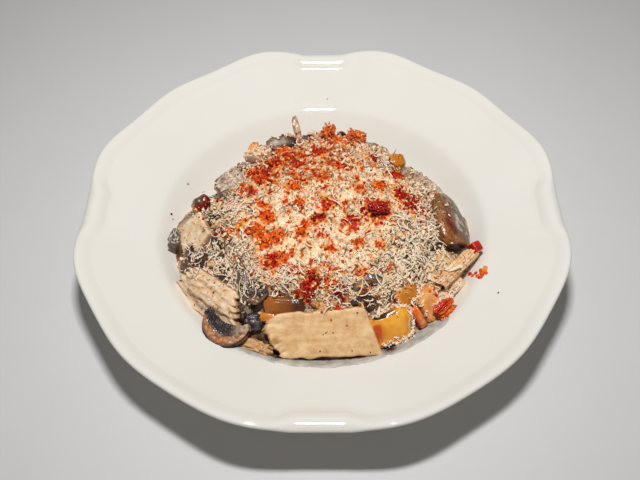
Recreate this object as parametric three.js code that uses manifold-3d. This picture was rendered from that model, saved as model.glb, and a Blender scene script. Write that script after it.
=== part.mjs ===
// A dinner plate of creamy pasta with sliced chicken and mushrooms, under grated cheese and chilli.
// Millimetres, +Z up. The origin is on the table, under the middle of the plate, and -Y is the
// side that the diner sits at.
//
// The plate is a deep porcelain one: a round well, a wide sloping rim and a raised lip whose edge
// waves in twelve shallow scallops, with a straight, lower notch at the front, back and each side.
// The food is a mound that fills the well up to its wall, except for a crescent left free behind.
// Each piece that can be told apart is a solid of its own, bedded in the mound with a hairline gap.
import * as THREE from "three";
import { mergeVertices } from "three/addons/utils/BufferGeometryUtils.js";
import Module from "manifold-3d";

// ---- driving dimensions ----

const GAP = 0.35; // clearance between pieces that touch
const PLATE_TURN = -1.2; // degrees, the small turn of the plate about its own axis

const LIP_RADIUS = 145.9; // mean radius of the scalloped edge
const LIP_HEIGHT = 42; // mean height of the edge above the table
const LIP_CROWN = 1.5; // how far the rolled lip stands above its edge
const LIP_BAND = 10; // width of the raised lip on the lobes
const NOTCH_BAND = 3; // how much wider it is at the four notches
const CREASE_DROP = 3.6; // from the edge down to the crease where the lip begins
const EDGE_WAVE = [0.0041, 0.0082, 0.0078]; // 4-, 8- and 12-fold waves of the radius, of LIP_RADIUS
const HEIGHT_WAVE = [0.0025, 0.0101, 0.0078]; // the same three waves of its height
const NOTCH_FLAT = 5; // degrees to each side of a notch's middle that the waves leave level

const FLOOR_HEIGHT = 7; // the well's floor above the table
const FLOOR_RADIUS = 70; // where the floor starts to rise
const WALL_RADIUS = 90; // where the wall reaches its full slope
const WALL_SLOPE = 45; // degrees
const SHOULDER_START = 98; // the well's rounded upper edge
const SHOULDER_END = 104;
const RIM_SLOPE = 19; // degrees, from the shoulder out to the crease

const SHELL = 4.5; // thickness of the porcelain
const FOOT_RADIUS = 72.5; // middle of the foot ring
const FOOT_WIDTH = 5;
const FOOT_RECESS = 2.5; // height of the hollow inside the foot ring

const MOUND_WIDE = 98; // the mound's foot radius at the sides and front
const MOUND_BACK = 84; // and behind, where it stops short of the well's wall
const MOUND_HEIGHT = 48; // above the well's floor
const MOUND_LUMPS = 1.3; // how uneven the mound is
const MOUND_REACH = 96.5; // where the mound's foot ends against the well's wall
const CHEESE_THICK = 4.5; // the grated cheese over the mound
const CHEESE_REACH = 66; // mean radius of the part that it covers
const CHICKEN_EDGE = 1.2; // how far the slices of chicken are rounded at their edges

const PLATE_SEGMENTS = 72; // round the plate, a multiple of its twelve scallops
const ROOM_SEGMENTS = 36;
const MOUND_SEGMENTS = 24;
const MOUND_RINGS = 7; // from the mound's top out to its foot
const TUBE_SEGMENTS = 16;

const COLOURS = {
  porcelain: 0xf0ebe1,
  sauce: 0xcdb491,
  cheese: 0xe8dcc8,
  chicken: 0xd9b88e,
  mushroom: 0x8b6d52,
  darkMushroom: 0x40352f,
  golden: 0xc98c2e,
  pasta: 0xdcc193,
  redPepper: 0xae1f12,
  orangePepper: 0xd05a18,
};

const wasm = await Module();
wasm.setup();

const group = new THREE.Group();
const rad = THREE.MathUtils.degToRad;
const smooth = (from, to, value) => THREE.MathUtils.smoothstep(value, from, to);

// ---- solids ----

function toSolid(geometry) {
  const bare = geometry.clone();
  for (const name of Object.keys(bare.attributes)) {
    if (name !== "position") bare.deleteAttribute(name);
  }
  const merged = mergeVertices(bare, 1e-3);
  return new wasm.Manifold(
    new wasm.Mesh({
      numProp: 3,
      vertProperties: new Float32Array(merged.attributes.position.array),
      triVerts: new Uint32Array(merged.index.array),
    }),
  );
}

function toGeometry(solid) {
  const mesh = solid.getMesh();
  const geometry = new THREE.BufferGeometry();
  geometry.setAttribute("position", new THREE.BufferAttribute(mesh.vertProperties, 3));
  geometry.setIndex(new THREE.BufferAttribute(mesh.triVerts, 1));
  geometry.computeVertexNormals();
  return geometry;
}

// A cut can leave crumbs behind: the piece is the largest body.
function largest(solid) {
  return solid.decompose().reduce((a, b) => (b.volume() > a.volume() ? b : a));
}

function addMesh(name, geometry, colour, roughness) {
  const material = new THREE.MeshStandardMaterial({ color: colour, roughness, metalness: 0 });
  const mesh = new THREE.Mesh(geometry, material);
  mesh.name = name;
  group.add(mesh);
}

// Slow waves in space, between -1 and 1, which make cooked things uneven.
function waves(x, y, z, size) {
  const k = (2 * Math.PI) / size;
  return (
    (Math.sin(k * x + 1.3 * Math.cos(0.7 * k * y)) +
      Math.sin(0.9 * k * y + 1.1 * Math.sin(0.8 * k * z)) +
      Math.sin(1.1 * k * z + 0.9 * Math.cos(0.6 * k * x))) /
    3
  );
}

// ---- the plate ----

// How far an angle is from the middle of the nearest of the four notches.
const fromNotch = (angle) => Math.abs(Math.atan2(Math.sin(4 * angle), Math.cos(4 * angle))) / 4;

// The waves of the lip's edge, level in the notches.
function edgeWave(angle, [fourfold, eightfold, twelvefold]) {
  const away = Math.max(fromNotch(angle), rad(NOTCH_FLAT));
  return (
    -fourfold * Math.cos(4 * away) -
    eightfold * Math.cos(8 * away) -
    twelvefold * Math.cos(12 * away)
  );
}

// 1 in the middle of each of the four notches and 0 on the lobes between them.
const notch = (angle) => 1 - smooth(rad(6), rad(14), fromNotch(angle));

// The well's and rim's height at a radius, from the slope along it: level floor, curved wall,
// rounded shoulder, straight rim.
function wellSlope(radius) {
  const rise = THREE.MathUtils.mapLinear(radius, FLOOR_RADIUS, WALL_RADIUS, 0, WALL_SLOPE);
  const turn = THREE.MathUtils.mapLinear(radius, SHOULDER_START, SHOULDER_END, WALL_SLOPE, RIM_SLOPE);
  const wall = THREE.MathUtils.clamp(rise, 0, WALL_SLOPE);
  return radius < SHOULDER_START ? wall : Math.max(turn, RIM_SLOPE);
}

function wellHeight(radius) {
  const steps = 60;
  const step = (radius - FLOOR_RADIUS) / steps;
  let height = FLOOR_HEIGHT;
  if (step <= 0) return height;
  for (let i = 0; i < steps; i++) {
    height += step * Math.tan(rad(wellSlope(FLOOR_RADIUS + (i + 0.5) * step)));
  }
  return height;
}

// The section through a lobe, from the axis over the top and back along the underside.
const CREASE_RADIUS = LIP_RADIUS - LIP_BAND;
const CREASE_HEIGHT = LIP_HEIGHT - CREASE_DROP;
const wallStart = (FLOOR_RADIUS + WALL_RADIUS) / 2;
const upper = [0, FLOOR_RADIUS, wallStart, WALL_RADIUS, SHOULDER_START, SHOULDER_END].map(
  (radius) => [radius, wellHeight(radius)],
);
const lip = [
  [CREASE_RADIUS, CREASE_HEIGHT],
  [CREASE_RADIUS + 0.25 * LIP_BAND, CREASE_HEIGHT + 0.5 * (CREASE_DROP + LIP_CROWN)],
  [LIP_RADIUS - 0.4 * LIP_BAND, LIP_HEIGHT + LIP_CROWN],
  [LIP_RADIUS, LIP_HEIGHT - 1],
  [LIP_RADIUS - 0.15 * LIP_BAND, LIP_HEIGHT - 0.7 * SHELL],
];
const under = [
  [CREASE_RADIUS, CREASE_HEIGHT - SHELL],
  [SHOULDER_END, wellHeight(SHOULDER_END) - 1.1 * SHELL],
  [FOOT_RADIUS + FOOT_WIDTH, FOOT_RECESS],
  [FOOT_RADIUS + FOOT_WIDTH / 2, 0],
  [FOOT_RADIUS - FOOT_WIDTH / 2, 0],
  [FOOT_RADIUS - FOOT_WIDTH, FOOT_RECESS],
  [0, FOOT_RECESS],
];

// Lathed round, then each point is moved out and up by the waves, more the nearer it is to the lip.
function plate() {
  const section = [...upper, ...lip, ...under].reverse();
  const points = section.map(([radius, height]) => new THREE.Vector2(radius, height));
  const geometry = new THREE.LatheGeometry(points, PLATE_SEGMENTS);
  geometry.rotateX(Math.PI / 2);
  const position = geometry.attributes.position;
  const turn = rad(PLATE_TURN);
  for (let i = 0; i < position.count; i++) {
    const [x, y, z] = [position.getX(i), position.getY(i), position.getZ(i)];
    const radius = Math.hypot(x, y);
    const angle = Math.atan2(y, x);
    const near = smooth(SHOULDER_END, CREASE_RADIUS, radius);
    const inBand = smooth(LIP_RADIUS, CREASE_RADIUS, radius);
    const out =
      near * LIP_RADIUS * edgeWave(angle - turn, EDGE_WAVE) -
      near * inBand * NOTCH_BAND * notch(angle - turn);
    const up = near * LIP_RADIUS * edgeWave(angle - turn, HEIGHT_WAVE);
    const scale = radius > 0 ? (radius + out) / radius : 1;
    position.setXYZ(i, x * scale, y * scale, z + up);
  }
  return toSolid(geometry);
}

// The space over the plate's surface, less the clearance: all the food lies within it.
function overTheWell() {
  const surface = upper.map(([radius, height]) => new THREE.Vector2(radius, height + GAP));
  const top = LIP_HEIGHT + 2 * MOUND_HEIGHT;
  const points = [...surface, new THREE.Vector2(LIP_RADIUS, top), new THREE.Vector2(0, top)];
  const geometry = new THREE.LatheGeometry(points, ROOM_SEGMENTS);
  geometry.rotateX(Math.PI / 2);
  return toSolid(geometry);
}

// ---- shapes of the food ----

// A rounded lump of food, along X. squareness 1 gives an ellipsoid and higher values a box with
// round corners; bend curls it about Y by that many degrees from end to end.
function lump({ length, width, thickness, squareness = 1.6, bend = 0, uneven = 0.04 }, grow = 0) {
  const geometry = new THREE.SphereGeometry(1, 10, 6);
  const position = geometry.attributes.position;
  const half = [length, width, thickness].map((size) => size / 2 + grow);
  const power = (value) => Math.sign(value) * Math.abs(value) ** (1 / squareness);
  for (let i = 0; i < position.count; i++) {
    const unit = new THREE.Vector3(position.getX(i), position.getZ(i), position.getY(i));
    const swell = 1 + uneven * waves(3 * unit.x, 3 * unit.y, 3 * unit.z + length, 5);
    let x = half[0] * power(unit.x) * swell;
    const y = half[1] * power(unit.y) * swell;
    let z = half[2] * power(unit.z) * swell;
    if (bend) {
      const radius = length / rad(bend);
      const angle = x / radius;
      x = (radius + z) * Math.sin(angle);
      z = (radius + z) * Math.cos(angle) - radius;
    }
    position.setXYZ(i, x, -y, z);
  }
  return toSolid(geometry);
}

// A flat slice from an outline in X and Y, its edges softened by so much. A grown one stays sharp.
function slice(outline, thickness, soft, grow = 0) {
  const edge = grow ? 0 : soft;
  const geometry = new THREE.ExtrudeGeometry(outline, {
    depth: thickness - 2 * edge + 2 * grow,
    bevelThickness: edge,
    bevelSize: edge,
    bevelOffset: grow - edge,
    bevelSegments: edge ? 1 : 0,
    curveSegments: 3,
  });
  geometry.translate(0, 0, edge - grow - thickness / 2);
  return toSolid(geometry);
}

// Sliced cooked chicken: a slab cut slantwise at one end and torn to a blunt point at the other.
function chicken({ length, width, thickness, slant = 6 }, grow) {
  const [l, w] = [length / 2, width / 2];
  const outline = new THREE.Shape();
  outline.moveTo(-0.72 * l, -w);
  outline.lineTo(l, -w);
  outline.lineTo(l - slant, 0.95 * w);
  outline.lineTo(0.2 * l, 0.84 * w);
  outline.quadraticCurveTo(-0.2 * l, 0.92 * w, -0.66 * l, 0.72 * w);
  outline.quadraticCurveTo(-1.02 * l, 0.35 * w, -0.96 * l, 0.05 * w);
  outline.quadraticCurveTo(-0.9 * l, -0.6 * w, -0.72 * l, -w);
  return slice(outline, thickness, CHICKEN_EDGE, grow);
}

// A slice through a mushroom: a domed cap over its gills, with a stem if it has a length.
function mushroom({ cap, dome, stem = 0, stemLength = 0, thickness }, grow) {
  const outline = new THREE.Shape();
  outline.moveTo(-cap / 2, -0.12 * dome);
  outline.quadraticCurveTo(-0.44 * cap, -0.34 * dome, -0.32 * cap, -0.14 * dome);
  outline.lineTo(-Math.max(stem, 0.1 * cap) / 2, 0);
  if (stem) {
    outline.lineTo(-0.58 * stem, -stemLength);
    outline.lineTo(0.5 * stem, -0.9 * stemLength);
  }
  outline.lineTo(Math.max(stem, 0.1 * cap) / 2, 0);
  outline.lineTo(0.32 * cap, -0.12 * dome);
  outline.quadraticCurveTo(0.44 * cap, -0.34 * dome, cap / 2, -0.1 * dome);
  outline.bezierCurveTo(0.52 * cap, 0.6 * dome, 0.26 * cap, dome, 0, dome);
  outline.bezierCurveTo(-0.26 * cap, dome, -0.52 * cap, 0.6 * dome, -cap / 2, -0.12 * dome);
  return slice(outline, thickness, 0, grow);
}

// A short tube of pasta along X, cut slantwise at both ends.
function pastaTube({ length, diameter, wall, slant }, grow = 0) {
  const [outer, inner] = [diameter / 2 + grow, diameter / 2 - wall - grow];
  const end = length / 2 + grow;
  const ring = [
    [inner, -end],
    [outer, -end],
    [outer, end],
    [inner, end],
    [inner, -end],
  ].map(([radius, along]) => new THREE.Vector2(radius, along));
  const geometry = new THREE.LatheGeometry(ring, TUBE_SEGMENTS);
  const position = geometry.attributes.position;
  for (let i = 0; i < position.count; i++) {
    const shear = (position.getX(i) / diameter) * slant;
    position.setY(i, position.getY(i) + shear);
  }
  geometry.rotateZ(-Math.PI / 2);
  return toSolid(geometry);
}

// ---- the pieces of food, from the top down: a higher one lies on the ones after it ----

const pieces = [];

// at is the middle of the piece; turn is about Z, lean about the piece's X, roll about its Y.
function lay(name, colour, roughness, shape, sizes, { at, turn = 0, lean = 0, roll = 0 }) {
  const place = new THREE.Matrix4().makeRotationFromEuler(
    new THREE.Euler(rad(lean), rad(roll), rad(turn), "ZXY"),
  );
  place.setPosition(...at);
  const put = (grow) => shape(sizes, grow).transform(place.elements);
  pieces.push({ name, colour, roughness, solid: put(0), grown: put(GAP) });
}

// Chilli and red pepper lying on top.
lay("red_pepper_cube", COLOURS.redPepper, 0.3, lump,
  { length: 7.5, width: 7, thickness: 7, squareness: 3, uneven: 0.02 },
  { at: [90.5, -25.5, 29.5], turn: 30, lean: 20, roll: 15 });
lay("red_pepper_on_top", COLOURS.redPepper, 0.35, lump,
  { length: 13, width: 9, thickness: 5, uneven: 0.12 },
  { at: [33, -13, 53.5], turn: 15, roll: 18 });
lay("red_pepper_at_front", COLOURS.redPepper, 0.35, lump,
  { length: 9, width: 6.5, thickness: 5, uneven: 0.1 },
  { at: [9, -62, 42.5], turn: -20, lean: 40 });
lay("red_pepper_at_back", COLOURS.redPepper, 0.35, lump,
  { length: 10, width: 7.5, thickness: 8, uneven: 0.12 },
  { at: [5.5, 62, 43], turn: 60, lean: -12 });
lay("red_pepper_behind", COLOURS.redPepper, 0.35, lump,
  { length: 12, width: 7, thickness: 5.5, uneven: 0.12 },
  { at: [24, 59, 41], turn: -12, roll: 12 });
lay("orange_pepper_strip", COLOURS.orangePepper, 0.3, lump,
  { length: 15, width: 6, thickness: 4.5, bend: 50 },
  { at: [53, -69, 25], turn: -55, lean: 10, roll: 40 });
lay("red_pepper_at_side", COLOURS.redPepper, 0.35, lump,
  { length: 14, width: 9, thickness: 6, uneven: 0.12 },
  { at: [68, -65, 25], turn: 42, lean: 45 });

// The large cap and the slices of mushroom round the edge of the cheese.
lay("mushroom_cap_right", COLOURS.mushroom, 0.35, lump,
  { length: 38, width: 26, thickness: 11, squareness: 1.3 },
  { at: [77.5, -8, 33], turn: -64, lean: -38, roll: 18 });
lay("mushroom_slice_back_right", COLOURS.mushroom, 0.45, mushroom,
  { cap: 30, dome: 14, thickness: 5 },
  { at: [62, 17, 40], turn: -32, lean: -42, roll: 14 });
lay("mushroom_cap_back", COLOURS.darkMushroom, 0.45, lump,
  { length: 21, width: 12, thickness: 9, squareness: 1.3 },
  { at: [-25, 53, 43.5], turn: 8, lean: -12 });
lay("mushroom_stem_back", COLOURS.mushroom, 0.45, lump,
  { length: 19, width: 4.5, thickness: 4.5, bend: 35 },
  { at: [-14.5, 58, 47], turn: 104, roll: -35 });
lay("mushroom_cap_back_left", COLOURS.mushroom, 0.5, lump,
  { length: 19, width: 14, thickness: 8, squareness: 1.3 },
  { at: [-57, 20, 41.5], turn: 28, roll: -26, lean: 6 });
lay("mushroom_button_left", COLOURS.mushroom, 0.45, lump,
  { length: 12, width: 10, thickness: 8, uneven: 0.08 },
  { at: [-74, 7, 36], turn: 10, roll: -30 });
lay("mushroom_slice_front_left", COLOURS.mushroom, 0.4, mushroom,
  { cap: 28, dome: 14, thickness: 5 },
  { at: [-53.5, -74.5, 31], turn: 150, lean: -25 });
lay("mushroom_button_front", COLOURS.darkMushroom, 0.35, lump,
  { length: 11, width: 10, thickness: 9 },
  { at: [-39, -72, 27], lean: 45 });
lay("mushroom_stem_left", COLOURS.mushroom, 0.45, lump,
  { length: 40, width: 9, thickness: 5.5, bend: 30 },
  { at: [-43.5, -53, 37], turn: -78, roll: 24, lean: -25 });
lay("mushroom_slice_front", COLOURS.darkMushroom, 0.4, mushroom,
  { cap: 24, dome: 12, stem: 6, stemLength: 6, thickness: 5 },
  { at: [26, -63, 37], turn: 12, lean: 40 });
lay("mushroom_slice_left", COLOURS.darkMushroom, 0.45, mushroom,
  { cap: 24, dome: 11, stem: 7, stemLength: 8, thickness: 4.5 },
  { at: [-74, -33, 31], turn: 110, lean: -38 });
lay("mushroom_slice_gills_up", COLOURS.darkMushroom, 0.45, mushroom,
  { cap: 17, dome: 8, stem: 5, stemLength: 6, thickness: 4.5 },
  { at: [-39, -59, 40], turn: 165, lean: -35 });
lay("mushroom_bit_left", COLOURS.darkMushroom, 0.45, lump,
  { length: 13, width: 8, thickness: 6 },
  { at: [-89.5, -12, 28], turn: 80, lean: 30 });

// A short ridged tube of pasta, lying on the chicken at the right.
lay("pasta_tube", COLOURS.pasta, 0.5, pastaTube,
  { length: 33, diameter: 9.5, wall: 1.3, slant: 5 },
  { at: [76.5, -40, 27.8], turn: 46 });

// Sliced chicken.
lay("chicken_slice_front", COLOURS.chicken, 0.55, chicken,
  { length: 64, width: 27, thickness: 7, slant: 9 },
  { at: [-1.5, -79.5, 26.7], turn: 2, lean: 38 });
lay("chicken_slice_left", COLOURS.chicken, 0.55, chicken,
  { length: 27, width: 22, thickness: 6 },
  { at: [-75.5, -13, 32], turn: -72, lean: 40 });
lay("chicken_strip_upper", COLOURS.chicken, 0.55, chicken,
  { length: 40, width: 15, thickness: 6, slant: 4 },
  { at: [-61.5, -52.5, 32], turn: -38, lean: 38, roll: -4 });
lay("chicken_strip_lower", COLOURS.chicken, 0.55, chicken,
  { length: 52, width: 17, thickness: 6, slant: 5 },
  { at: [-66, -57, 25], turn: -41, lean: 48, roll: -6 });
lay("chicken_slice_right", COLOURS.chicken, 0.55, chicken,
  { length: 27, width: 16, thickness: 6, slant: 3 },
  { at: [66, -42, 30], turn: 48, lean: 42 });
lay("chicken_slice_back_left", COLOURS.chicken, 0.55, chicken,
  { length: 23, width: 16, thickness: 6, slant: 3 },
  { at: [-38, 43.5, 42], turn: 215, lean: 32 });
lay("chicken_bit_left", COLOURS.chicken, 0.55, lump,
  { length: 23, width: 6.5, thickness: 4.5, squareness: 2, uneven: 0.08 },
  { at: [-41, -84, 22.3], turn: -22, lean: 25 });
lay("chicken_bit_front", COLOURS.chicken, 0.55, lump,
  { length: 16, width: 9, thickness: 6, uneven: 0.08 },
  { at: [2, -67, 36], turn: 10, lean: 40 });

// Smooth golden pieces of pasta between them.
lay("golden_pasta_front_right", COLOURS.golden, 0.3, lump,
  { length: 25, width: 22, thickness: 13, squareness: 1.7 },
  { at: [37.5, -74.5, 23], turn: 20, lean: 50 });
lay("golden_pasta_upper_right", COLOURS.golden, 0.3, lump,
  { length: 17, width: 13, thickness: 11, squareness: 2 },
  { at: [45, -58.5, 31], turn: 38, lean: 42 });
lay("golden_pasta_side", COLOURS.golden, 0.4, lump,
  { length: 20, width: 14, thickness: 8, squareness: 1.8 },
  { at: [60, -60.5, 24.5], turn: -48, roll: 46 });
lay("golden_pasta_behind", COLOURS.golden, 0.4, lump,
  { length: 10, width: 8.5, thickness: 8, squareness: 1.8 },
  { at: [48, 34, 42], turn: 10 });
lay("golden_pasta_back_left", COLOURS.golden, 0.4, lump,
  { length: 9, width: 7, thickness: 6, squareness: 1.8 },
  { at: [-42, 46, 40], turn: 50, roll: -20 });
lay("golden_pasta_front_left", COLOURS.golden, 0.35, lump,
  { length: 10, width: 6, thickness: 6, squareness: 1.8 },
  { at: [-31, -71, 30], turn: -12, lean: 40 });
lay("golden_pasta_front", COLOURS.golden, 0.35, lump,
  { length: 23, width: 10, thickness: 9, squareness: 1.8 },
  { at: [-22, -66, 34], turn: -6, lean: 40 });

// ---- the mound under them, and the cheese over it ----

// The mound's surface over a plan position: half an ellipsoid, lumpy, lower behind.
function moundHeight(radius, angle) {
  const behind = smooth(0, 0.6, Math.sin(angle));
  const foot = THREE.MathUtils.lerp(MOUND_WIDE, MOUND_BACK, behind);
  const part = Math.min(radius / foot, 1);
  const lumps = MOUND_LUMPS * waves(radius * Math.cos(angle), radius * Math.sin(angle), 0, 26);
  return FLOOR_HEIGHT + MOUND_HEIGHT * Math.sqrt(1 - part ** 2.2) + lumps * (1 - part ** 4);
}

// A round blanket between two height functions, out to a reach that may vary with the angle.
function blanket(reach, bottom, top) {
  const geometry = new THREE.SphereGeometry(1, MOUND_SEGMENTS, 2 * MOUND_RINGS);
  const position = geometry.attributes.position;
  for (let i = 0; i < position.count; i++) {
    const [x, y, z] = [position.getX(i), position.getY(i), position.getZ(i)];
    const angle = Math.atan2(-z, x);
    const part = Math.min(Math.acos(Math.min(Math.abs(y), 1)) / (Math.PI / 2), 1);
    const radius = part * reach(angle);
    const isRim = Math.abs(y) < 1e-6;
    const over = isRim ? (top(radius, angle) + bottom(radius, angle)) / 2 : 0;
    const height = isRim ? over : y > 0 ? top(radius, angle) : bottom(radius, angle);
    position.setXYZ(i, radius * Math.cos(angle), radius * Math.sin(angle), height);
  }
  return toSolid(geometry);
}

const cheeseReach = (angle) =>
  CHEESE_REACH + 9 * Math.cos(angle + rad(35)) ** 3 + 2.5 * Math.sin(5 * angle + 0.6);
const core = (radius, angle) => moundHeight(radius, angle) - CHEESE_THICK;
const moundReach = () => MOUND_REACH;
const table = () => 0;

const room = overTheWell();
const mound = blanket(moundReach, table, core).intersect(room);
const raised = blanket(moundReach, table, (radius, angle) => core(radius, angle) + GAP);
const cheese = blanket(cheeseReach, () => FLOOR_HEIGHT, moundHeight).subtract(raised);

pieces.push({ name: "grated_cheese", colour: COLOURS.cheese, roughness: 0.8, solid: cheese });
pieces.push({ name: "pasta_mound", colour: COLOURS.sauce, roughness: 0.5, solid: mound });

addMesh("plate", toGeometry(plate()), COLOURS.porcelain, 0.15);
let above = null;
for (const { name, colour, roughness, solid, grown } of pieces) {
  const clear = above ? solid.subtract(above) : solid;
  addMesh(name, toGeometry(largest(clear.intersect(room))), colour, roughness);
  if (grown) above = above ? above.add(grown) : grown;
}

export default group;
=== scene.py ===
import math
import random

import bmesh
import bpy
import numpy as np
from mathutils import Matrix, Vector, noise
from mathutils.bvhtree import BVHTree


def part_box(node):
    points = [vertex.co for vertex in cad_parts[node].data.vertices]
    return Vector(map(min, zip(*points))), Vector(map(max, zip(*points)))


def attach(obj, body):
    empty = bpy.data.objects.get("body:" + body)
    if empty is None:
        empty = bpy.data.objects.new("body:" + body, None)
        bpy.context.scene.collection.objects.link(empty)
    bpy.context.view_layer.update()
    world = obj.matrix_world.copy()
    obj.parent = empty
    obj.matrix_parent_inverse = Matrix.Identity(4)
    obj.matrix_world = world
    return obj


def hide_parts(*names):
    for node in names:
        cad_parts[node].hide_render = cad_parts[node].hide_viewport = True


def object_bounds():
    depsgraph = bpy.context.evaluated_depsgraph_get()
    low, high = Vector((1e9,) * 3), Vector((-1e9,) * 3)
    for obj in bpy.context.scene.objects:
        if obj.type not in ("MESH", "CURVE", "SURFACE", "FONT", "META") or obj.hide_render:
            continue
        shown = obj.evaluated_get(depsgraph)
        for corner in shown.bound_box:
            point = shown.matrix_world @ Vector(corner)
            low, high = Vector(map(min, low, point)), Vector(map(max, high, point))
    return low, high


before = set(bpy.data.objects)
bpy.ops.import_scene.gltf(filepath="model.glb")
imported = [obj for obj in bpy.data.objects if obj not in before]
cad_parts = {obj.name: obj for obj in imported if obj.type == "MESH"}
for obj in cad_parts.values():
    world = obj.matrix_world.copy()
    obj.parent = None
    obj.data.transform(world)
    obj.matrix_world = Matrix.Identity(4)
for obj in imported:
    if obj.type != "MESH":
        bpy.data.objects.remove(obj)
cad_box = [list(corner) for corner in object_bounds()]

# ---- the table, the lamp and the camera ----
# A pale matt table under one small bright lamp that hangs a little to the diner's side of the
# plate, in a white room. The camera looks down across the plate from the diner's side.
MM = 0.001


class Shade:
    """An output socket of a material's nodes. Arithmetic on it adds Math nodes to its tree."""

    def __init__(self, tree, socket=None):
        self.tree = tree
        self.socket = socket

    def node(self, kind, settings=None, values=None, output=0):
        """Adds any node: first its settings, then its sockets' values or links."""
        made = self.tree.nodes.new("ShaderNode" + kind)
        for name, setting in (settings or {}).items():
            setattr(made, name, setting)
        for name, value in (values or {}).items():
            if isinstance(value, Shade):
                self.tree.links.new(value.socket, made.inputs[name])
            else:
                made.inputs[name].default_value = value
        return Shade(self.tree, made.outputs[output])

    def __add__(self, other):
        return self.node("Math", {"operation": "ADD"}, {0: self, 1: other})

    def __mul__(self, other):
        return self.node("Math", {"operation": "MULTIPLY"}, {0: self, 1: other})

    __radd__ = __add__
    __rmul__ = __mul__

    def within(self, low, high):
        """0 below low, 1 above high and a smooth step between them."""
        values = {"Value": self, "From Min": low, "From Max": high}
        return self.node("MapRange", {"interpolation_type": "SMOOTHSTEP"}, values)

    def noise(self, size, detail=3.0, roughness=0.55):
        """Noise with features of that many millimetres, where self is a position in metres."""
        scale = [1 / (size * MM)] * 3
        place = self.node("VectorMath", {"operation": "MULTIPLY"}, {0: self, 1: scale})
        values = {"Vector": place, "Scale": 1.0, "Detail": detail, "Roughness": roughness}
        return self.node("TexNoise", None, values)

    def mix(self, low, high, blend="MIX"):
        """Colours low and high mixed by self, the factor."""
        settings = {"data_type": "RGBA", "blend_type": blend}
        paints = [value if isinstance(value, Shade) else (*value, 1) for value in (low, high)]
        return self.node("Mix", settings, {0: self, 6: paints[0], 7: paints[1]}, output=2)

    def bump(self, depth):
        """A normal from self as a height, where 1 stands so many millimetres high."""
        return self.node("Bump", None, {"Height": self, "Strength": 1.0, "Distance": depth * MM})


def paint(red, green, blue):
    """A colour as it is seen, in parts of 255, as the linear one that a shader takes."""
    parts = [value / 255 for value in (red, green, blue)]
    return tuple(p / 12.92 if p < 0.04 else ((p + 0.055) / 1.055) ** 2.4 for p in parts)


def new_material(name):
    """A material with only its Principled shader, and the Object coordinates in it."""
    material = bpy.data.materials.new(name)
    material.use_nodes = True
    here = Shade(material.node_tree)
    return material, here.node("TexCoord", output=3)


def finish_material(material, **sockets):
    """Sets the Principled shader's sockets to values or links, by their names with _ for a space."""
    shader = material.node_tree.nodes["Principled BSDF"]
    for name, value in sockets.items():
        socket = shader.inputs[name.replace("_", " ")]
        if isinstance(value, Shade):
            material.node_tree.links.new(value.socket, socket)
        else:
            socket.default_value = (*value, 1) if isinstance(value, tuple) else value


TABLE_SIZE = 6.0
TABLE_COLOUR = paint(224, 223, 222)

table_paint, here = new_material("pale matt table")
mottle = here.noise(60, detail=4)
finish_material(
    table_paint,
    Base_Color=mottle.mix(TABLE_COLOUR, paint(219, 218, 217)),
    Roughness=0.55 + 0.1 * here.noise(4),
)
bm = bmesh.new()
bmesh.ops.create_grid(bm, x_segments=8, y_segments=8, size=TABLE_SIZE / 2)
mesh = bpy.data.meshes.new("table")
bm.to_mesh(mesh)
bm.free()
mesh.materials.append(table_paint)
table = bpy.data.objects.new("table", mesh)
bpy.context.scene.collection.objects.link(table)

LAMP_PLACE = Vector((0, -84, 574)) * MM
LAMP_AIM = Vector((0, 250, 0)) * MM
LAMP_SIZE = (75 * MM, 46 * MM)
LAMP_POWER = 2.9
ROOM_LIGHT = 0.14

lamp_data = bpy.data.lights.new("lamp", "AREA")
lamp_data.shape = "RECTANGLE"
lamp_data.size, lamp_data.size_y = LAMP_SIZE
lamp_data.energy = LAMP_POWER
lamp = bpy.data.objects.new("lamp", lamp_data)
lamp.location = LAMP_PLACE
lamp.rotation_euler = (LAMP_AIM - LAMP_PLACE).to_track_quat("-Z", "Y").to_euler()
bpy.context.scene.collection.objects.link(lamp)

world = bpy.data.worlds.new("white room")
world.use_nodes = True
backdrop = world.node_tree.nodes["Background"]
backdrop.inputs["Color"].default_value = (1.0, 0.98, 0.96, 1)
backdrop.inputs["Strength"].default_value = ROOM_LIGHT
bpy.context.scene.world = world
bpy.context.scene.view_settings.view_transform = "Standard"

CAMERA_PLACE = Vector((-1.4, -290.6, 385.4)) * MM
CAMERA_DIP = math.radians(52.46)
CAMERA_ROLL = math.radians(-1.21)
CAMERA_LENS = 42.05

camera_data = bpy.data.cameras.new("camera")
camera_data.lens = CAMERA_LENS
camera_data.sensor_width = 36
camera_data.clip_start = 0.01
camera = bpy.data.objects.new("camera", camera_data)
tilt = Matrix.Rotation(math.pi / 2 - CAMERA_DIP, 4, "X")
roll = Matrix.Rotation(CAMERA_ROLL, 4, "Z")
camera.matrix_world = Matrix.Translation(CAMERA_PLACE) @ tilt @ roll
bpy.context.scene.collection.objects.link(camera)
bpy.context.scene.camera = camera

# ---- the plate ----
# One piece of white porcelain: a deep round well, a wide sloping rim, and a lip pressed over a
# mould into twelve shallow scallops with a lower, straighter notch on four sides, then glazed.
PLATE_TURN = math.radians(-1.2)
LIP_RADIUS = 145.9
EDGE_WAVE = (0.0041, 0.0082, 0.0078)
HEIGHT_WAVE = (0.0025, 0.0101, 0.0078)
NOTCH_BAND = 3
NOTCH_FLAT = 5
NOTCH_EDGES = (5.5, 10)
LIP_INSET = 0.55
FLOOR_HEIGHT = 7
FLOOR_RADIUS = 70
WALL_RADIUS = 90
WALL_SLOPE = 45
SHOULDER = (98, 104)
RIM_SLOPE = 19
CREASE_RADIUS = 135.9
PLATE_STEPS = 288

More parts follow.
